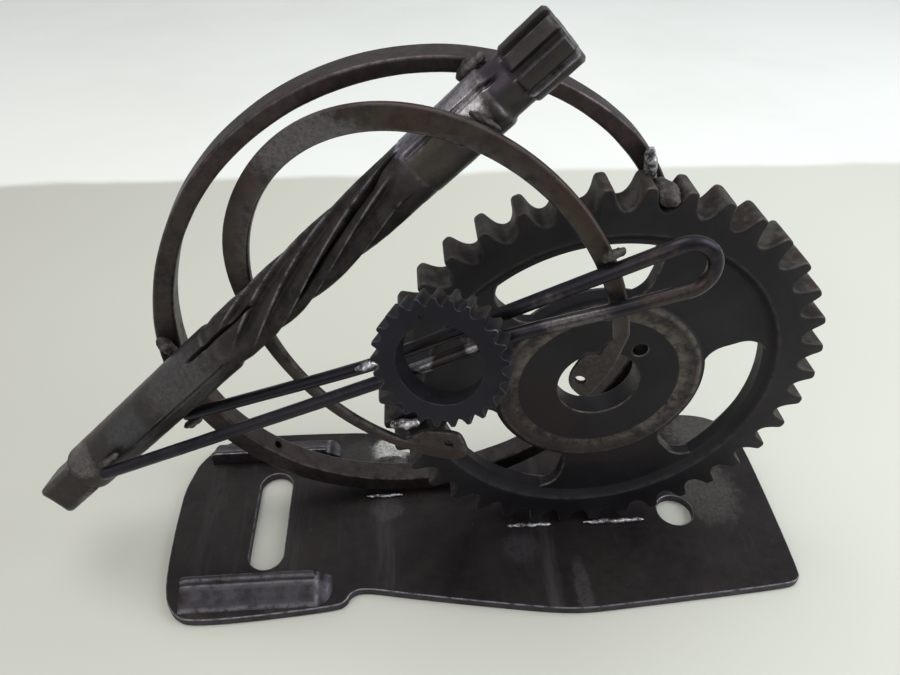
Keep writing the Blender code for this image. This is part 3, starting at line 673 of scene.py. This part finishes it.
def build_wheel(material):
    shape = Shape()
    outline = tooth_outline(WHEEL_TEETH, WHEEL_FIRST_TOOTH, WHEEL_TOOTH)
    angles = [math.degrees(math.atan2(y, x)) for x, y in outline]
    tips = [0.15 + 0.85 * ease(74.5, 77.6, math.hypot(x, y)) for x, y in outline]
    rows, wear, grime_and_painted_light = [], [], []

    def ring(radius, height, worn, dirt_and_painted_light=0.0):
        rows.append([(*polar(radius, angle), height) for angle in angles])
        wear.append(worn)
        grime_and_painted_light.append(dirt_and_painted_light)

    def toothed(amount, height, worn, dirt_and_painted_light):
        rows.append([(x, y, height + 0.1 * wander((x, y, height), 0.5)) for x, y in inset(outline, amount)])
        wear.append([worn * tip for tip in tips])
        grime_and_painted_light.append(dirt_and_painted_light)

    for radius, height, worn in ((57.8, -2.55, 0.0), (58.6, -2.34, 0.0), (59.4, -2.14, 0.0), (60.2, -1.75, 0.0),
                                 (61.0, -1.15, 0.0), (61.7, -0.55, 0.1), (62.15, -0.2, 0.25), (62.6, -0.05, 0.2),
                                 (63.2, 0.0, 0.0), (69.2, 0.0, 0.0)):
        ring(radius, height, worn)
    for amount, height, worn, dirt_and_painted_light in ((0.6, 0.0, 0.1, 0.1), (0.2, -0.14, 1.0, 0.5), (0.03, -0.5, 0.7, 1.0),
                                        (0.0, -1.2, 0.2, 1.0), (0.0, -6.0, 0.1, 1.0), (0.0, -10.8, 0.2, 1.0),
                                        (0.03, -11.5, 0.7, 1.0), (0.2, -11.86, 1.0, 0.5), (0.6, -12.0, 0.1, 0.1)):
        toothed(amount, height, worn, dirt_and_painted_light)
    for radius, height, worn in ((69.2, -12.0, 0.0), (63.2, -12.0, 0.0), (62.3, -11.8, 0.6), (61.6, -11.0, 0.0),
                                 (60.4, -8.6, 0.0), (59.4, -7.4, 0.0), (57.8, -7.0, 0.0)):
        ring(radius, height, worn)
    shape.loft(rows, wear, grime_and_painted_light, ring=True)

    outer, inner, front, back = WEB
    windows = [kidney(*WINDOW_RADII, start, stop, WINDOW_CORNER) for start, stop in WINDOWS]
    shape.flat([circle((0.0, 0.0), outer, 160), circle((0.0, 0.0), inner, 120)] + windows, front, back, 0.7, 3)
    foot, crest, flat = BOSS_RADII
    shape.turned([(foot + 1.2, -2.5, 0.0), (foot + 0.4, -2.15, 0.0), (foot, -1.7, 0.1), (crest + 0.1, -1.2, 0.9),
                  (crest - 0.4, -1.0, 0.9), (34.2, -1.1, 0.25), (32.4, -1.35, 0.45), (30.6, -1.6, 0.8),
                  (flat + 0.6, -1.9, 0.9), (flat, -2.02, 0.2), (flat - 1.0, -2.4, 0.0), (flat - 1.0, -10.6, 0.0),
                  (flat + 0.4, -11.0, 0.0), (crest - 0.5, -11.0, 0.3), (crest, -10.7, 0.8), (foot, -7.6, 0.0),
                  (foot + 1.2, -7.0, 0.0)], 200)
    dowel_radius, dowel_angle, dowel = DOWEL
    holes = [circle((0.0, 0.0), BORE_RADIUS, 120), circle(polar(dowel_radius, dowel_angle), dowel, 36)]
    shape.flat([circle((0.0, 0.0), flat + 1.5, 140)] + holes, -2.0, -11.0, 0.6)
    add_piece("toothed_wheel_and_web", shape.mesh("toothed_wheel_and_web"), material,
              ["large_toothed_wheel"], facing(WHEEL_CENTRE, (0.0, 0.0)))


def build_pinion(material):
    degrees, half_width, depth = KEYWAY
    half_gap = math.degrees(math.asin(half_width / PINION_BORE))
    half_end = math.degrees(math.asin(half_width / depth))
    bore = arc((0.0, 0.0), PINION_BORE, degrees + half_gap, degrees + 360.0 - half_gap, 90)
    bore += arc((0.0, 0.0), depth, degrees - half_end, degrees + half_end, 4)
    shape = Shape()
    shape.flat([tooth_outline(PINION_TEETH, PINION_FIRST_TOOTH, PINION_TOOTH), bore], 0.0, -PINION_WIDTH, 0.4)
    for index, (x, y, z) in enumerate(shape.points):
        radius = math.hypot(x, y)
        if radius > 17.0:
            shape.grime_and_painted_light[index] = ease(0.0, 1.2, -z)
            shape.wear[index] *= 0.35 + 0.65 * ease(18.3, 19.6, radius)
        else:
            shape.wear[index] *= 0.15
            shape.grime_and_painted_light[index] = 0.4 * ease(0.2, 2.0, -z)
    add_piece("small_wheel", shape.mesh("small_wheel"), material, ["small_toothed_wheel"],
              facing(PINION_CENTRE, PINION_LEAN))


def build_hoop(material):
    steps = 288
    rows, wear = [], []
    outer, inner = HOOP_RADII
    for step in range(steps):
        degrees = 360.0 * step / steps
        far = Vector(polar(oval(outer, degrees, HOOP_OVAL) + bulge(degrees, HOOP_BULGES), degrees))
        near = Vector(polar(oval(inner, degrees, HOOP_OVAL), degrees)) + Vector(HOOP_SHIFT)
        middle = (far + near) / 2.0
        outward = (far - near).normalized()
        half = (far - near).length / 2.0
        row, marks = [], []
        for index, (across, along) in enumerate(rounded_box(half, HOOP_WIDTH / 2.0, 1.15, 5)):
            place = (middle.x, middle.y, along)
            across *= 1.0 - 0.035 - 0.035 * wander(place, 0.09, 1.0)
            along -= 0.12 * wander(place, 0.16, 7.0)
            x, y = middle + outward * across
            row.append((x, y, max(-HOOP_WIDTH, min(0.0, along - HOOP_WIDTH / 2.0))))
            marks.append(1.0 if index % 6 in (2, 3) else 0.25)
        rows.append(row)
        wear.append(marks)
    shape = Shape()
    shape.loft(rows, wear, ring=True)
    matrix = facing(HOOP_CENTRE, HOOP_LEAN)
    hoop = add_piece("large_bar_ring", shape.mesh("large_bar_ring"), material, ["large_ring"], matrix)
    degrees, radius = HOOP_HOLE
    x, y = polar(oval(inner, degrees, HOOP_OVAL), degrees)
    drill = bmesh.new()
    bmesh.ops.create_cone(drill, cap_ends=True, segments=28, radius1=radius * MM, radius2=radius * MM, depth=0.02)
    mesh = bpy.data.meshes.new("ring_drill")
    drill.to_mesh(mesh)
    drill.free()
    cutter = bpy.data.objects.new("ring_drill", mesh)
    bpy.context.scene.collection.objects.link(cutter)
    aim = Matrix.Rotation(math.radians(degrees), 4, 'Z') @ Matrix.Rotation(math.pi / 2.0, 4, 'Y')
    cutter.matrix_world = matrix @ Matrix.Translation(Vector((x, y, -HOOP_WIDTH / 2.0)) * MM) @ aim
    cut = hoop.modifiers.new("drilled", 'BOOLEAN')
    cut.operation = 'DIFFERENCE'
    cut.solver = 'EXACT'
    cut.object = cutter
    hoop.modifiers.move(1, 0)
    bpy.context.view_layer.update()
    drilled = bpy.data.meshes.new_from_object(hoop.evaluated_get(bpy.context.evaluated_depsgraph_get()))
    hoop.modifiers.remove(cut)
    hoop.data = drilled
    bpy.data.objects.remove(cutter, do_unlink=True)


def build_clip(material):
    start, stop = CLIP_SPAN
    outer, inner = CLIP_RADII
    outline = oval_arc(outer, start, stop, 150, CLIP_OVAL, bulges=CLIP_BULGES) + cut_corners(CLIP_EYE_BELOW, 2, False)
    outline += oval_arc(inner, stop, start, 150, CLIP_OVAL, CLIP_SHIFT) + cut_corners(CLIP_EYE_RIGHT[::-1], 2, False)
    shape = Shape()
    holes = [circle(centre, CLIP_HOLE_RADIUS, 28) for centre in CLIP_HOLES]
    shape.flat([outline] + holes, 0.0, -CLIP_WIDTH, 0.75, 3)
    for index, (x, y, z) in enumerate(shape.points):
        if math.hypot(x, y) > (outer + inner) / 2.0:
            shape.grime_and_painted_light[index] = 1.0
            shape.wear[index] *= 0.25
        else:
            shape.wear[index] = max(shape.wear[index], 0.5)
    add_piece("open_spring_ring", shape.mesh("open_spring_ring"), material,
              ["small_open_ring"], facing(CLIP_CENTRE, CLIP_LEAN))


def square_radius(half, degrees):
    """Radius of a square section with rounded corners, which lie at 45 degrees."""
    angle = math.radians(degrees)
    return half / (abs(math.cos(angle)) ** 12 + abs(math.sin(angle)) ** 12) ** (1.0 / 12.0)


def turned_by(along):
    """Degrees that the flutes have turned: they straighten towards the collar."""
    distance = along - FLUTES[0]
    return FLUTE_TURN_LOSS * distance ** 2 - FLUTE_TURN * distance


def apart(degrees, other):
    """Smallest difference between two angles, with its sign."""
    return (degrees - other + 180.0) % 360.0 - 180.0


def notch(degrees, middle, half_width):
    """1 in the middle of a narrow groove, 0 outside it."""
    return math.exp(-(apart(degrees, middle) / half_width) ** 4)


def flute_depth(degrees):
    """Depth of the flutes at an angle measured where they start, and how near a land it is."""
    place = degrees % 360.0
    for index, land in enumerate(LANDS):
        following = LANDS[(index + 1) % len(LANDS)]
        gap = (following - land) % 360.0
        past = (place - land) % 360.0
        if past < gap:
            share = past / gap
            return between(FLUTE_FORM, share), max(ease(0.92, 0.99, share), 1.0 - ease(0.0, 0.05, share))
    return 0.0, 0.0


def shaft_surface(along, degrees):
    """Radius, wear and grime of the shaft at a distance along it and an angle round it; on the head, the wear on one
    wall of each groove is a painted highlight and the grime in the grooves is painted shade.
    """
    tang_end, tang_root, half, corner_angle = TANG
    shank_start, shank_end, shank = SHANK
    first, last, start_radius, end_radius = FLUTES
    if along < shank_start:
        chamfer = 0.7 * (1.0 - ease(tang_end, tang_end + 1.3, along))
        square = min(shank - 0.1, square_radius(half, degrees - corner_angle + 45.0)) - chamfer
        crack = 0.9 * math.exp(-((along - tang_root) / 0.45) ** 2)
        return square - crack, 0.4 * ease(7.9, 8.8, square) + 0.6 * chamfer, min(1.0, 1.4 * crack)
    if along < shank_end:
        groove = SHANK_GROOVE
        channel = ease(groove[0], groove[0] + 6.0, along) * notch(degrees, groove[2], 2.7)
        rim = ease(groove[0], groove[0] + 6.0, along) * notch(degrees, groove[2] - 5.5, 2.0)
        edge = ease(shank_end - 0.8, shank_end, along)
        return shank - 0.8 * channel - 0.7 * edge, 0.3 * rim + 0.3 * edge * (1.0 - edge), channel + 0.8 * edge
    if along < first:
        return shank - 0.7 + 0.5 * ease(shank_end + 1.0, first, along), 0.1, 0.3
    if along < last + 0.01:
        radius = start_radius + (end_radius - start_radius) * (along - first) / (last - first)
        depth, land = flute_depth(degrees - turned_by(along))
        full = min(ease(0.0, 10.0, along - first), ease(0.0, 12.0, last - along))
        return radius - max(0.0, depth - 2.4 * (1.0 - full)), 0.95 * land * full, 0.35 + 0.5 * full
    if along < HEAD[0]:
        radius = between([(COLLAR[0] - 0.2, end_radius), (COLLAR[0] + 0.2, COLLAR[2]), (COLLAR[1] - 0.3, COLLAR[2]),
                          (COLLAR[1] + 0.4, NECK_RADIUS + 0.2), (COLLAR[1] + 1.2, NECK_RADIUS),
                          (HEAD[0] - 0.8, NECK_RADIUS), (HEAD[0], NECK_RADIUS + 0.2)], along)
        inside = ease(COLLAR[0] - 0.4, COLLAR[0] + 0.2, along) * (1.0 - ease(COLLAR[1] + 2.0, COLLAR[1] + 4.0, along))
        channel = inside * notch(degrees, COLLAR_GROOVE, 5.5)
        lips = inside * (notch(degrees, COLLAR_GROOVE - 7.5, 2.0) + notch(degrees, COLLAR_GROOVE + 7.5, 2.0))
        ends = math.exp(-((along - COLLAR[0]) / 0.5) ** 2) + math.exp(-((along - COLLAR[1] + 0.2) / 0.5) ** 2)
        return radius - 1.3 * channel, min(1.0, 0.9 * lips + 0.7 * ends), channel
    count, middle = HEAD_GROOVES
    away = apart(degrees * count, middle * count) / count
    # Painted highlight on one wall of each head groove, through the wear mark, and painted shade in the grooves,
    # through the grime mark, growing with depth.
    depth = 1.7 * (1.0 - ease(6.0, 9.5, abs(away)))
    wall = notch(degrees * 0.0 + away, 8.0, 2.2)
    rise = ease(HEAD[0] - 0.2, HEAD[0] + 0.8, along)
    taper = 0.9 * ease(HEAD[1] - 1.1, HEAD[1], along)
    return NECK_RADIUS + (HEAD[2] - taper - NECK_RADIUS) * rise - depth * rise, 0.9 * wall + 0.5 * taper, 0.4 * depth


def slit_depth(along, degrees):
    """Depth of the narrow slits."""
    deepest = 0.0
    for start, stop, angle, turning in SLITS:
        if start < along < stop:
            ends = ease(start, start + 4.0, along) * (1.0 - ease(stop - 4.0, stop, along))
            deepest = max(deepest, 3.0 * ends * notch(degrees, angle + turning * turned_by(along), 3.4))
    return deepest


def on_shaft(along, degrees, radius=8.8):
    """A point on the shaft's surface, in millimetres."""
    axis = Vector(SHAFT_AXIS).normalized()
    across = axis.cross(Vector((0.0, 1.0, 0.0))).normalized()
    angle = math.radians(degrees)
    spoke = across * math.cos(angle) + axis.cross(across) * math.sin(angle)
    return Vector(SHAFT_POINT) + axis * along + spoke * radius


def build_shaft(material):
    sides = 300
    stations = [TANG[0] + SHAFT_STEP * step for step in range(int((HEAD[1] - TANG[0]) / SHAFT_STEP) + 1)]
    stations += [TANG[1] + 0.3, SHANK[0] - 0.01, SHANK[0] + 0.01, SHANK[1] - 0.2, SHANK[1] + 0.05, COLLAR[0] - 0.2,
                 COLLAR[0] + 0.2, COLLAR[1] + 0.3, HEAD[0] + 0.3]
    rows, wear, grime_and_painted_light = [], [], []
    for along in sorted(set(stations)):
        row, marks, dirt_and_painted_shade = [], [], []
        for side in range(sides):
            degrees = 360.0 * side / sides
            radius, worn, dirt_and_painted_light = shaft_surface(along, degrees)
            slit = slit_depth(along, degrees)
            point = on_shaft(along, degrees, radius - slit)
            row.append(tuple(on_shaft(along, degrees, radius - slit + 0.06 * wander(point, 0.35, 5.0))))
            marks.append(min(1.0, max(0.0, worn - slit)))
            # Painted shadow: each slit's depth is added to the grime mark, which paints the slit near black.
            dirt_and_painted_shade.append(min(1.0, dirt_and_painted_light + slit))
        rows.append(row)
        wear.append(marks)
        grime_and_painted_light.append(dirt_and_painted_shade)
    shape = Shape()
    shape.loft(rows, wear, grime_and_painted_light, caps=True)
    add_piece("fluted_tool_shaft", shape.mesh("fluted_tool_shaft"), material, ["fluted_shaft"], sharp=50.0)


def along_line(points, spacing):
    """Points at an even spacing along a line."""
    line = [Vector(point) for point in points]
    evened = [line[0]]
    left = spacing
    for a, b in zip(line, line[1:]):
        length = (b - a).length
        while left <= length:
            evened.append(a.lerp(b, left / length))
            left += spacing
        left -= length
    return evened + [line[-1]]


def build_rod(material):
    (x, y, z), radius, start, stop = ROD_BEND
    bend = [(bend_x, y, bend_z) for bend_x, bend_z in arc((x, z), radius, start, stop, 30)]
    route = cut_corners(ROD_UPPER_LEG, 2, False) + bend + cut_corners(ROD_LOWER_LEG, 2, False)
    centres = along_line(route, 1.5)
    sides = 20
    up = Vector((0.0, 1.0, 0.0))
    rows = []
    for index, centre in enumerate(centres):
        ahead = (centres[min(index + 1, len(centres) - 1)] - centres[max(index - 1, 0)]).normalized()
        up = (up - ahead * up.dot(ahead)).normalized()
        beside = ahead.cross(up)
        end = min(index, len(centres) - 1 - index)
        size = ROD_RADIUS * (0.86 if end == 0 else 1.0) * (1.0 + 0.012 * wander(centre, 0.3))
        rows.append([tuple(centre + (up * math.cos(FULL_TURN * side / sides)
                                     + beside * math.sin(FULL_TURN * side / sides)) * size)
                     for side in range(sides)])
    shape = Shape()
    shape.loft(rows, [0.0] * len(rows), caps=True)
    add_piece("bent_hairpin_rod", shape.mesh("bent_hairpin_rod"), material, ["hairpin_rod"], sharp=60.0)


def blobs(places, voxel):
    """A lumpy mesh in millimetres from overlapping balls, given as (centre, half sizes)."""
    lumps = bmesh.new()
    for centre, sizes in places:
        matrix = Matrix.Translation(Vector(centre)) @ Matrix.Diagonal((*sizes, 1.0))
        bmesh.ops.create_icosphere(lumps, subdivisions=3, radius=1.0, matrix=matrix)
    mesh = bpy.data.meshes.new("lumps")
    lumps.to_mesh(mesh)
    lumps.free()
    guide = bpy.data.objects.new("lumps", mesh)
    bpy.context.scene.collection.objects.link(guide)
    remesh = guide.modifiers.new("merge", 'REMESH')
    remesh.mode = 'VOXEL'
    remesh.voxel_size = voxel
    relax = guide.modifiers.new("relax", 'SMOOTH')
    relax.iterations = 7
    bpy.context.view_layer.update()
    merged = bpy.data.meshes.new_from_object(guide.evaluated_get(bpy.context.evaluated_depsgraph_get()))
    bpy.data.objects.remove(guide, do_unlink=True)
    return merged


def build_welds(dull, bright):
    for number, (name, centre, half_sizes, turn) in enumerate(WELDS):
        longest = max(range(3), key=lambda axis: half_sizes[axis])
        count = max(4, round(half_sizes[longest]))
        places = []
        for index in range(count):
            share = -0.75 + 1.5 * index / (count - 1)
            jitter = [0.16 * wander((index * 3.7, number * 5.1, axis * 9.3), 1.0) for axis in range(3)]
            place = [half_sizes[axis] * jitter[axis] for axis in range(3)]
            place[longest] += half_sizes[longest] * share
            size = 1.0 - 0.25 * abs(share) + 0.25 * wander((index * 1.9, number * 2.3, 4.0), 1.0)
            sizes = [half_sizes[axis] * size for axis in range(3)]
            sizes[longest] = half_sizes[longest] * 0.3 + 1.3 * size
            places.append((place, sizes))
        mesh = blobs(places, 0.26)
        for vertex in mesh.vertices:
            place = vertex.co.copy()
            rough = 0.5 * wander(place, 0.42, number) + 0.22 * wander(place, 1.3, number)
            vertex.co += vertex.normal * rough * min(1.0, 0.5 * sum(half_sizes) / 3.0)
        mesh.transform(Matrix.Scale(MM, 4))
        matrix = Matrix.Translation(Vector(centre) * MM) @ Matrix.Rotation(math.radians(turn), 4, 'Y')
        add_piece("bead_" + name[5:], mesh, bright if name in BRIGHT_WELDS else dull, [name], matrix,
                  sharp=80.0)


# ---------------------------------------------------------------- stage

def build_stage():
    camera = bpy.data.cameras.new("camera")
    camera.sensor_width = 36.0
    camera.lens = CAMERA_LENS
    camera.clip_start = 0.01
    viewer = bpy.data.objects.new("camera", camera)
    bpy.context.scene.collection.objects.link(viewer)
    aim = Vector(CAMERA_FORWARD).to_track_quat('-Z', 'Y').to_matrix().to_4x4()
    roll = Matrix.Rotation(math.radians(CAMERA_ROLL), 4, 'Z')
    viewer.matrix_world = Matrix.Translation(Vector(CAMERA_PLACE) * MM) @ aim @ roll
    bpy.context.scene.camera = viewer

    floor = bmesh.new()
    bmesh.ops.create_grid(floor, x_segments=24, y_segments=24, size=4.0)
    mesh = bpy.data.meshes.new("table")
    floor.to_mesh(mesh)
    floor.free()
    mesh.materials.append(table_top("pale_table"))
    table = bpy.data.objects.new("table", mesh)
    bpy.context.scene.collection.objects.link(table)

    world = bpy.data.worlds.new("soft_room")
    world.use_nodes = True
    nodes, links = world.node_tree.nodes, world.node_tree.links
    coords = nodes.new('ShaderNodeTexCoord').outputs["Generated"]
    split = nodes.new('ShaderNodeSeparateXYZ')
    ramp = nodes.new('ShaderNodeValToRGB')
    links.new(coords, split.inputs[0])
    links.new(split.outputs["Z"], ramp.inputs[0])
    ramp.color_ramp.elements[0].color = (0.42, 0.44, 0.46, 1.0)
    ramp.color_ramp.elements[1].color = (0.95, 0.98, 1.0, 1.0)
    links.new(ramp.outputs[0], nodes["Background"].inputs["Color"])
    nodes["Background"].inputs["Strength"].default_value = 0.62
    bpy.context.scene.world = world
    bpy.context.scene.view_settings.view_transform = 'Standard'

    for name, place, size, energy, colour in (
            ("window", (1.05, -0.15, 0.75), 0.9, 9.0, (0.93, 0.97, 1.0)),
            ("ceiling", (-0.25, 0.1, 1.3), 0.8, 7.0, (1.0, 0.99, 0.95)),
            ("fill", (-0.6, -0.7, 0.6), 0.7, 1.8, (1.0, 0.98, 0.96))):
        light = bpy.data.lights.new(name, 'AREA')
        light.size = size
        light.energy = energy
        light.color = colour
        lamp = bpy.data.objects.new(name, light)
        bpy.context.scene.collection.objects.link(lamp)
        lamp.location = place
        toward = Vector((0.0, 0.0, 0.08)) - Vector(place)
        lamp.rotation_euler = toward.to_track_quat('-Z', 'Y').to_euler()


# ---------------------------------------------------------------- assembly

RUST = (0.040, 0.021, 0.016)
DUST = (0.085, 0.085, 0.078)
WORN = (0.30, 0.28, 0.32)

# The last colour, lilac grey, is grime on the plate's edges and underside and a painted sheen on the rib slopes.
build_plate(steel(
    "scaled_plate", ((0.015, 0.0115, 0.0122), (0.025, 0.0195, 0.020), (0.026, 0.020, 0.024), (0.060, 0.056, 0.055),
                     WORN, (0.060, 0.053, 0.070)),
    metallic=0.5, roughness=(0.32, 0.55), wear=(0.30, 0.8), grime_and_painted_light=0.95, dust_and_top_light=0.10, rust=0.08,
    streak=((0.0, 0.0, 8.0), (1.0, 0.10, 1.0)),
    spots=[((-37.0, 33.0, 4.5), (10.0, 11.0, 3.0), (0.60, 0.60, 0.56), 1.0, 0.75, 0.1),
           ((-52.0, 30.0, 4.5), (13.0, 12.0, 3.0), (0.055, 0.055, 0.052), 0.7, 0.7, 0.2),
           ((101.0, 2.0, 4.5), (18.0, 22.0, 3.0), (0.085, 0.081, 0.074), 0.75, 0.7, 0.2),
           ((112.0, 36.0, 4.5), (22.0, 16.0, 3.0), (0.095, 0.092, 0.082), 0.8, 0.7, 0.2),
           ((38.0, -44.0, 4.5), (4.0, 20.0, 3.0), (0.075, 0.070, 0.074), 0.6, 0.6, 0.3),
           ((16.0, -22.0, 4.5), (9.0, 9.0, 3.0), (0.055, 0.048, 0.058), 0.6, 0.6, 0.3),
           ((-38.0, 0.0, 4.5), (9.0, 7.0, 3.0), (0.085, 0.082, 0.085), 0.55, 0.5, 0.4)]))
build_wheel(steel(
    "blued_wheel", ((0.012, 0.0105, 0.0135), (0.019, 0.017, 0.021), (0.034, 0.019, 0.015), (0.030, 0.028, 0.028),
                    (0.21, 0.175, 0.15), (0.095, 0.088, 0.076)),
    metallic=0.5, roughness=(0.36, 0.58), wear=(0.32, 0.62), grime_and_painted_light=0.95, dust_and_top_light=0.15, rust=0.05, pits=0.12,
    spots=[((-25.0, -16.0, -2.0), (24.0, 30.0, 6.0), (0.021, 0.0115, 0.0105), 0.85, 0.6, 0.3),
           ((4.0, -34.0, -2.0), (34.0, 12.0, 6.0), (0.020, 0.014, 0.013), 0.75, 0.55, 0.3)]))
build_pinion(steel(
    "blued_small_wheel", ((0.012, 0.012, 0.017), (0.017, 0.017, 0.024), RUST, (0.040, 0.040, 0.042),
                          (0.20, 0.19, 0.23), (0.055, 0.048, 0.044)),
    metallic=0.5, roughness=(0.4, 0.58), wear=(0.40, 0.7), grime_and_painted_light=0.8, dust_and_top_light=0.15, rust=0.05, pits=0.1))
build_hoop(steel(
    "rusty_bar", ((0.020, 0.0135, 0.0135), (0.036, 0.024, 0.0235), (0.050, 0.024, 0.020), (0.060, 0.054, 0.050),
                  (0.17, 0.14, 0.14), DUST),
    metallic=0.5, roughness=(0.34, 0.56), wear=(0.34, 0.6), dust_and_top_light=0.4, rust=0.34, pits=0.35))
# The fourth colour, lilac grey, is dust and painted top light on upward faces.
build_clip(steel(
    "worn_spring_steel", ((0.017, 0.0150, 0.0170), (0.032, 0.027, 0.028), (0.056, 0.030, 0.022), (0.090, 0.080, 0.084),
                          (0.20, 0.17, 0.16), (0.060, 0.046, 0.034)),
    metallic=0.65, roughness=(0.26, 0.5), wear=(0.30, 0.6), grime_and_painted_light=0.8, dust_and_top_light=0.45, rust=0.3, pits=0.2,
    streak=((0.0, 0.0, 25.0), (1.0, 0.3, 1.0)),
    spots=[((-31.0, 50.0, -1.0), (28.0, 13.0, 8.0), (0.17, 0.16, 0.17), 0.85, 0.32, 0.75),
           ((6.0, -57.0, -1.0), (13.0, 10.0, 8.0), (0.030, 0.018, 0.015), 0.8, 0.6, 0.3),
           ((52.0, -14.0, -1.0), (16.0, 22.0, 8.0), (0.024, 0.016, 0.014), 0.85, 0.5, 0.4),
           ((45.0, 38.0, -1.0), (20.0, 12.0, 8.0), (0.050, 0.034, 0.024), 0.7, 0.4, 0.6)]))
# The last colour, near black, is grime in the flutes and grooves and painted shade in the slits and head grooves.
build_shaft(steel(
    "tool_steel", ((0.028, 0.0235, 0.0235), (0.048, 0.042, 0.040), (0.040, 0.027, 0.021), (0.085, 0.080, 0.082),
                   (0.34, 0.32, 0.34), (0.006, 0.005, 0.006)),
    metallic=0.65, roughness=(0.3, 0.5), wear=(0.34, 0.85), grime_and_painted_light=1.0, dust_and_top_light=0.3, rust=0.2, pits=0.45,
    spots=[(on_shaft(140.0, 14.0), (11.0, 7.5, 11.0), (0.50, 0.47, 0.50), 1.0, 0.22, 0.9),
           (on_shaft(142.0, 68.0), (7.0, 8.0, 7.0), (0.52, 0.49, 0.50), 1.0, 0.24, 0.9),
           (on_shaft(126.0, 14.0), (6.0, 7.0, 6.0), (0.40, 0.37, 0.46), 0.9, 0.24, 0.9),
           (on_shaft(129.0, 72.0), (8.0, 9.0, 8.0), (0.070, 0.056, 0.046), 0.8, 0.42, 0.5),
           (on_shaft(16.0, 60.0), (20.0, 8.0, 18.0), (0.105, 0.100, 0.105), 0.8, 0.42, 0.5),
           (on_shaft(-14.0, 55.0), (12.0, 7.0, 11.0), (0.085, 0.088, 0.100), 0.7, 0.42, 0.5),
           (on_shaft(-16.0, -5.0), (28.0, 7.0, 26.0), (0.046, 0.028, 0.038), 0.8, 0.36, 0.6),
           (on_shaft(-41.0, 45.0), (8.0, 9.0, 8.0), (0.17, 0.145, 0.15), 0.9, 0.32, 0.8),
           (on_shaft(-58.0, 40.0), (12.0, 12.0, 12.0), (0.048, 0.032, 0.030), 0.7, 0.42, 0.5),
           (on_shaft(154.0, 40.0), (6.0, 9.0, 6.0), (0.060, 0.044, 0.066), 0.8, 0.28, 0.8)]))
# The fourth colour, lilac blue, is dust and painted top light on upward faces.
build_rod(steel(
    "blued_rod", ((0.016, 0.0145, 0.021), (0.028, 0.025, 0.032), (0.045, 0.028, 0.023), (0.075, 0.070, 0.085),
                  (0.26, 0.25, 0.29), DUST),
    metallic=0.75, roughness=(0.24, 0.42), dust_and_top_light=0.2, rust=0.1, pits=0.1,
    spots=[((44.0, -41.0, 150.0), (15.0, 8.0, 13.0), (0.075, 0.055, 0.045), 0.8, 0.35, 0.6),
           ((20.0, -38.0, 136.0), (14.0, 8.0, 8.0), (0.16, 0.14, 0.14), 0.7, 0.3, 0.8),
           ((-18.0, -33.0, 117.0), (14.0, 9.0, 11.0), (0.044, 0.032, 0.028), 0.8, 0.4, 0.5),
           ((-23.0, -34.0, 118.0), (5.5, 6.0, 4.0), (0.42, 0.40, 0.42), 1.0, 0.3, 0.9),
           ((-8.3, -36.0, 125.5), (2.6, 6.0, 3.4), (0.30, 0.28, 0.28), 1.0, 0.3, 0.9)]))
build_welds(weld_metal("dull_weld", 0.66), weld_metal("bright_weld", 0.40))
build_stage()
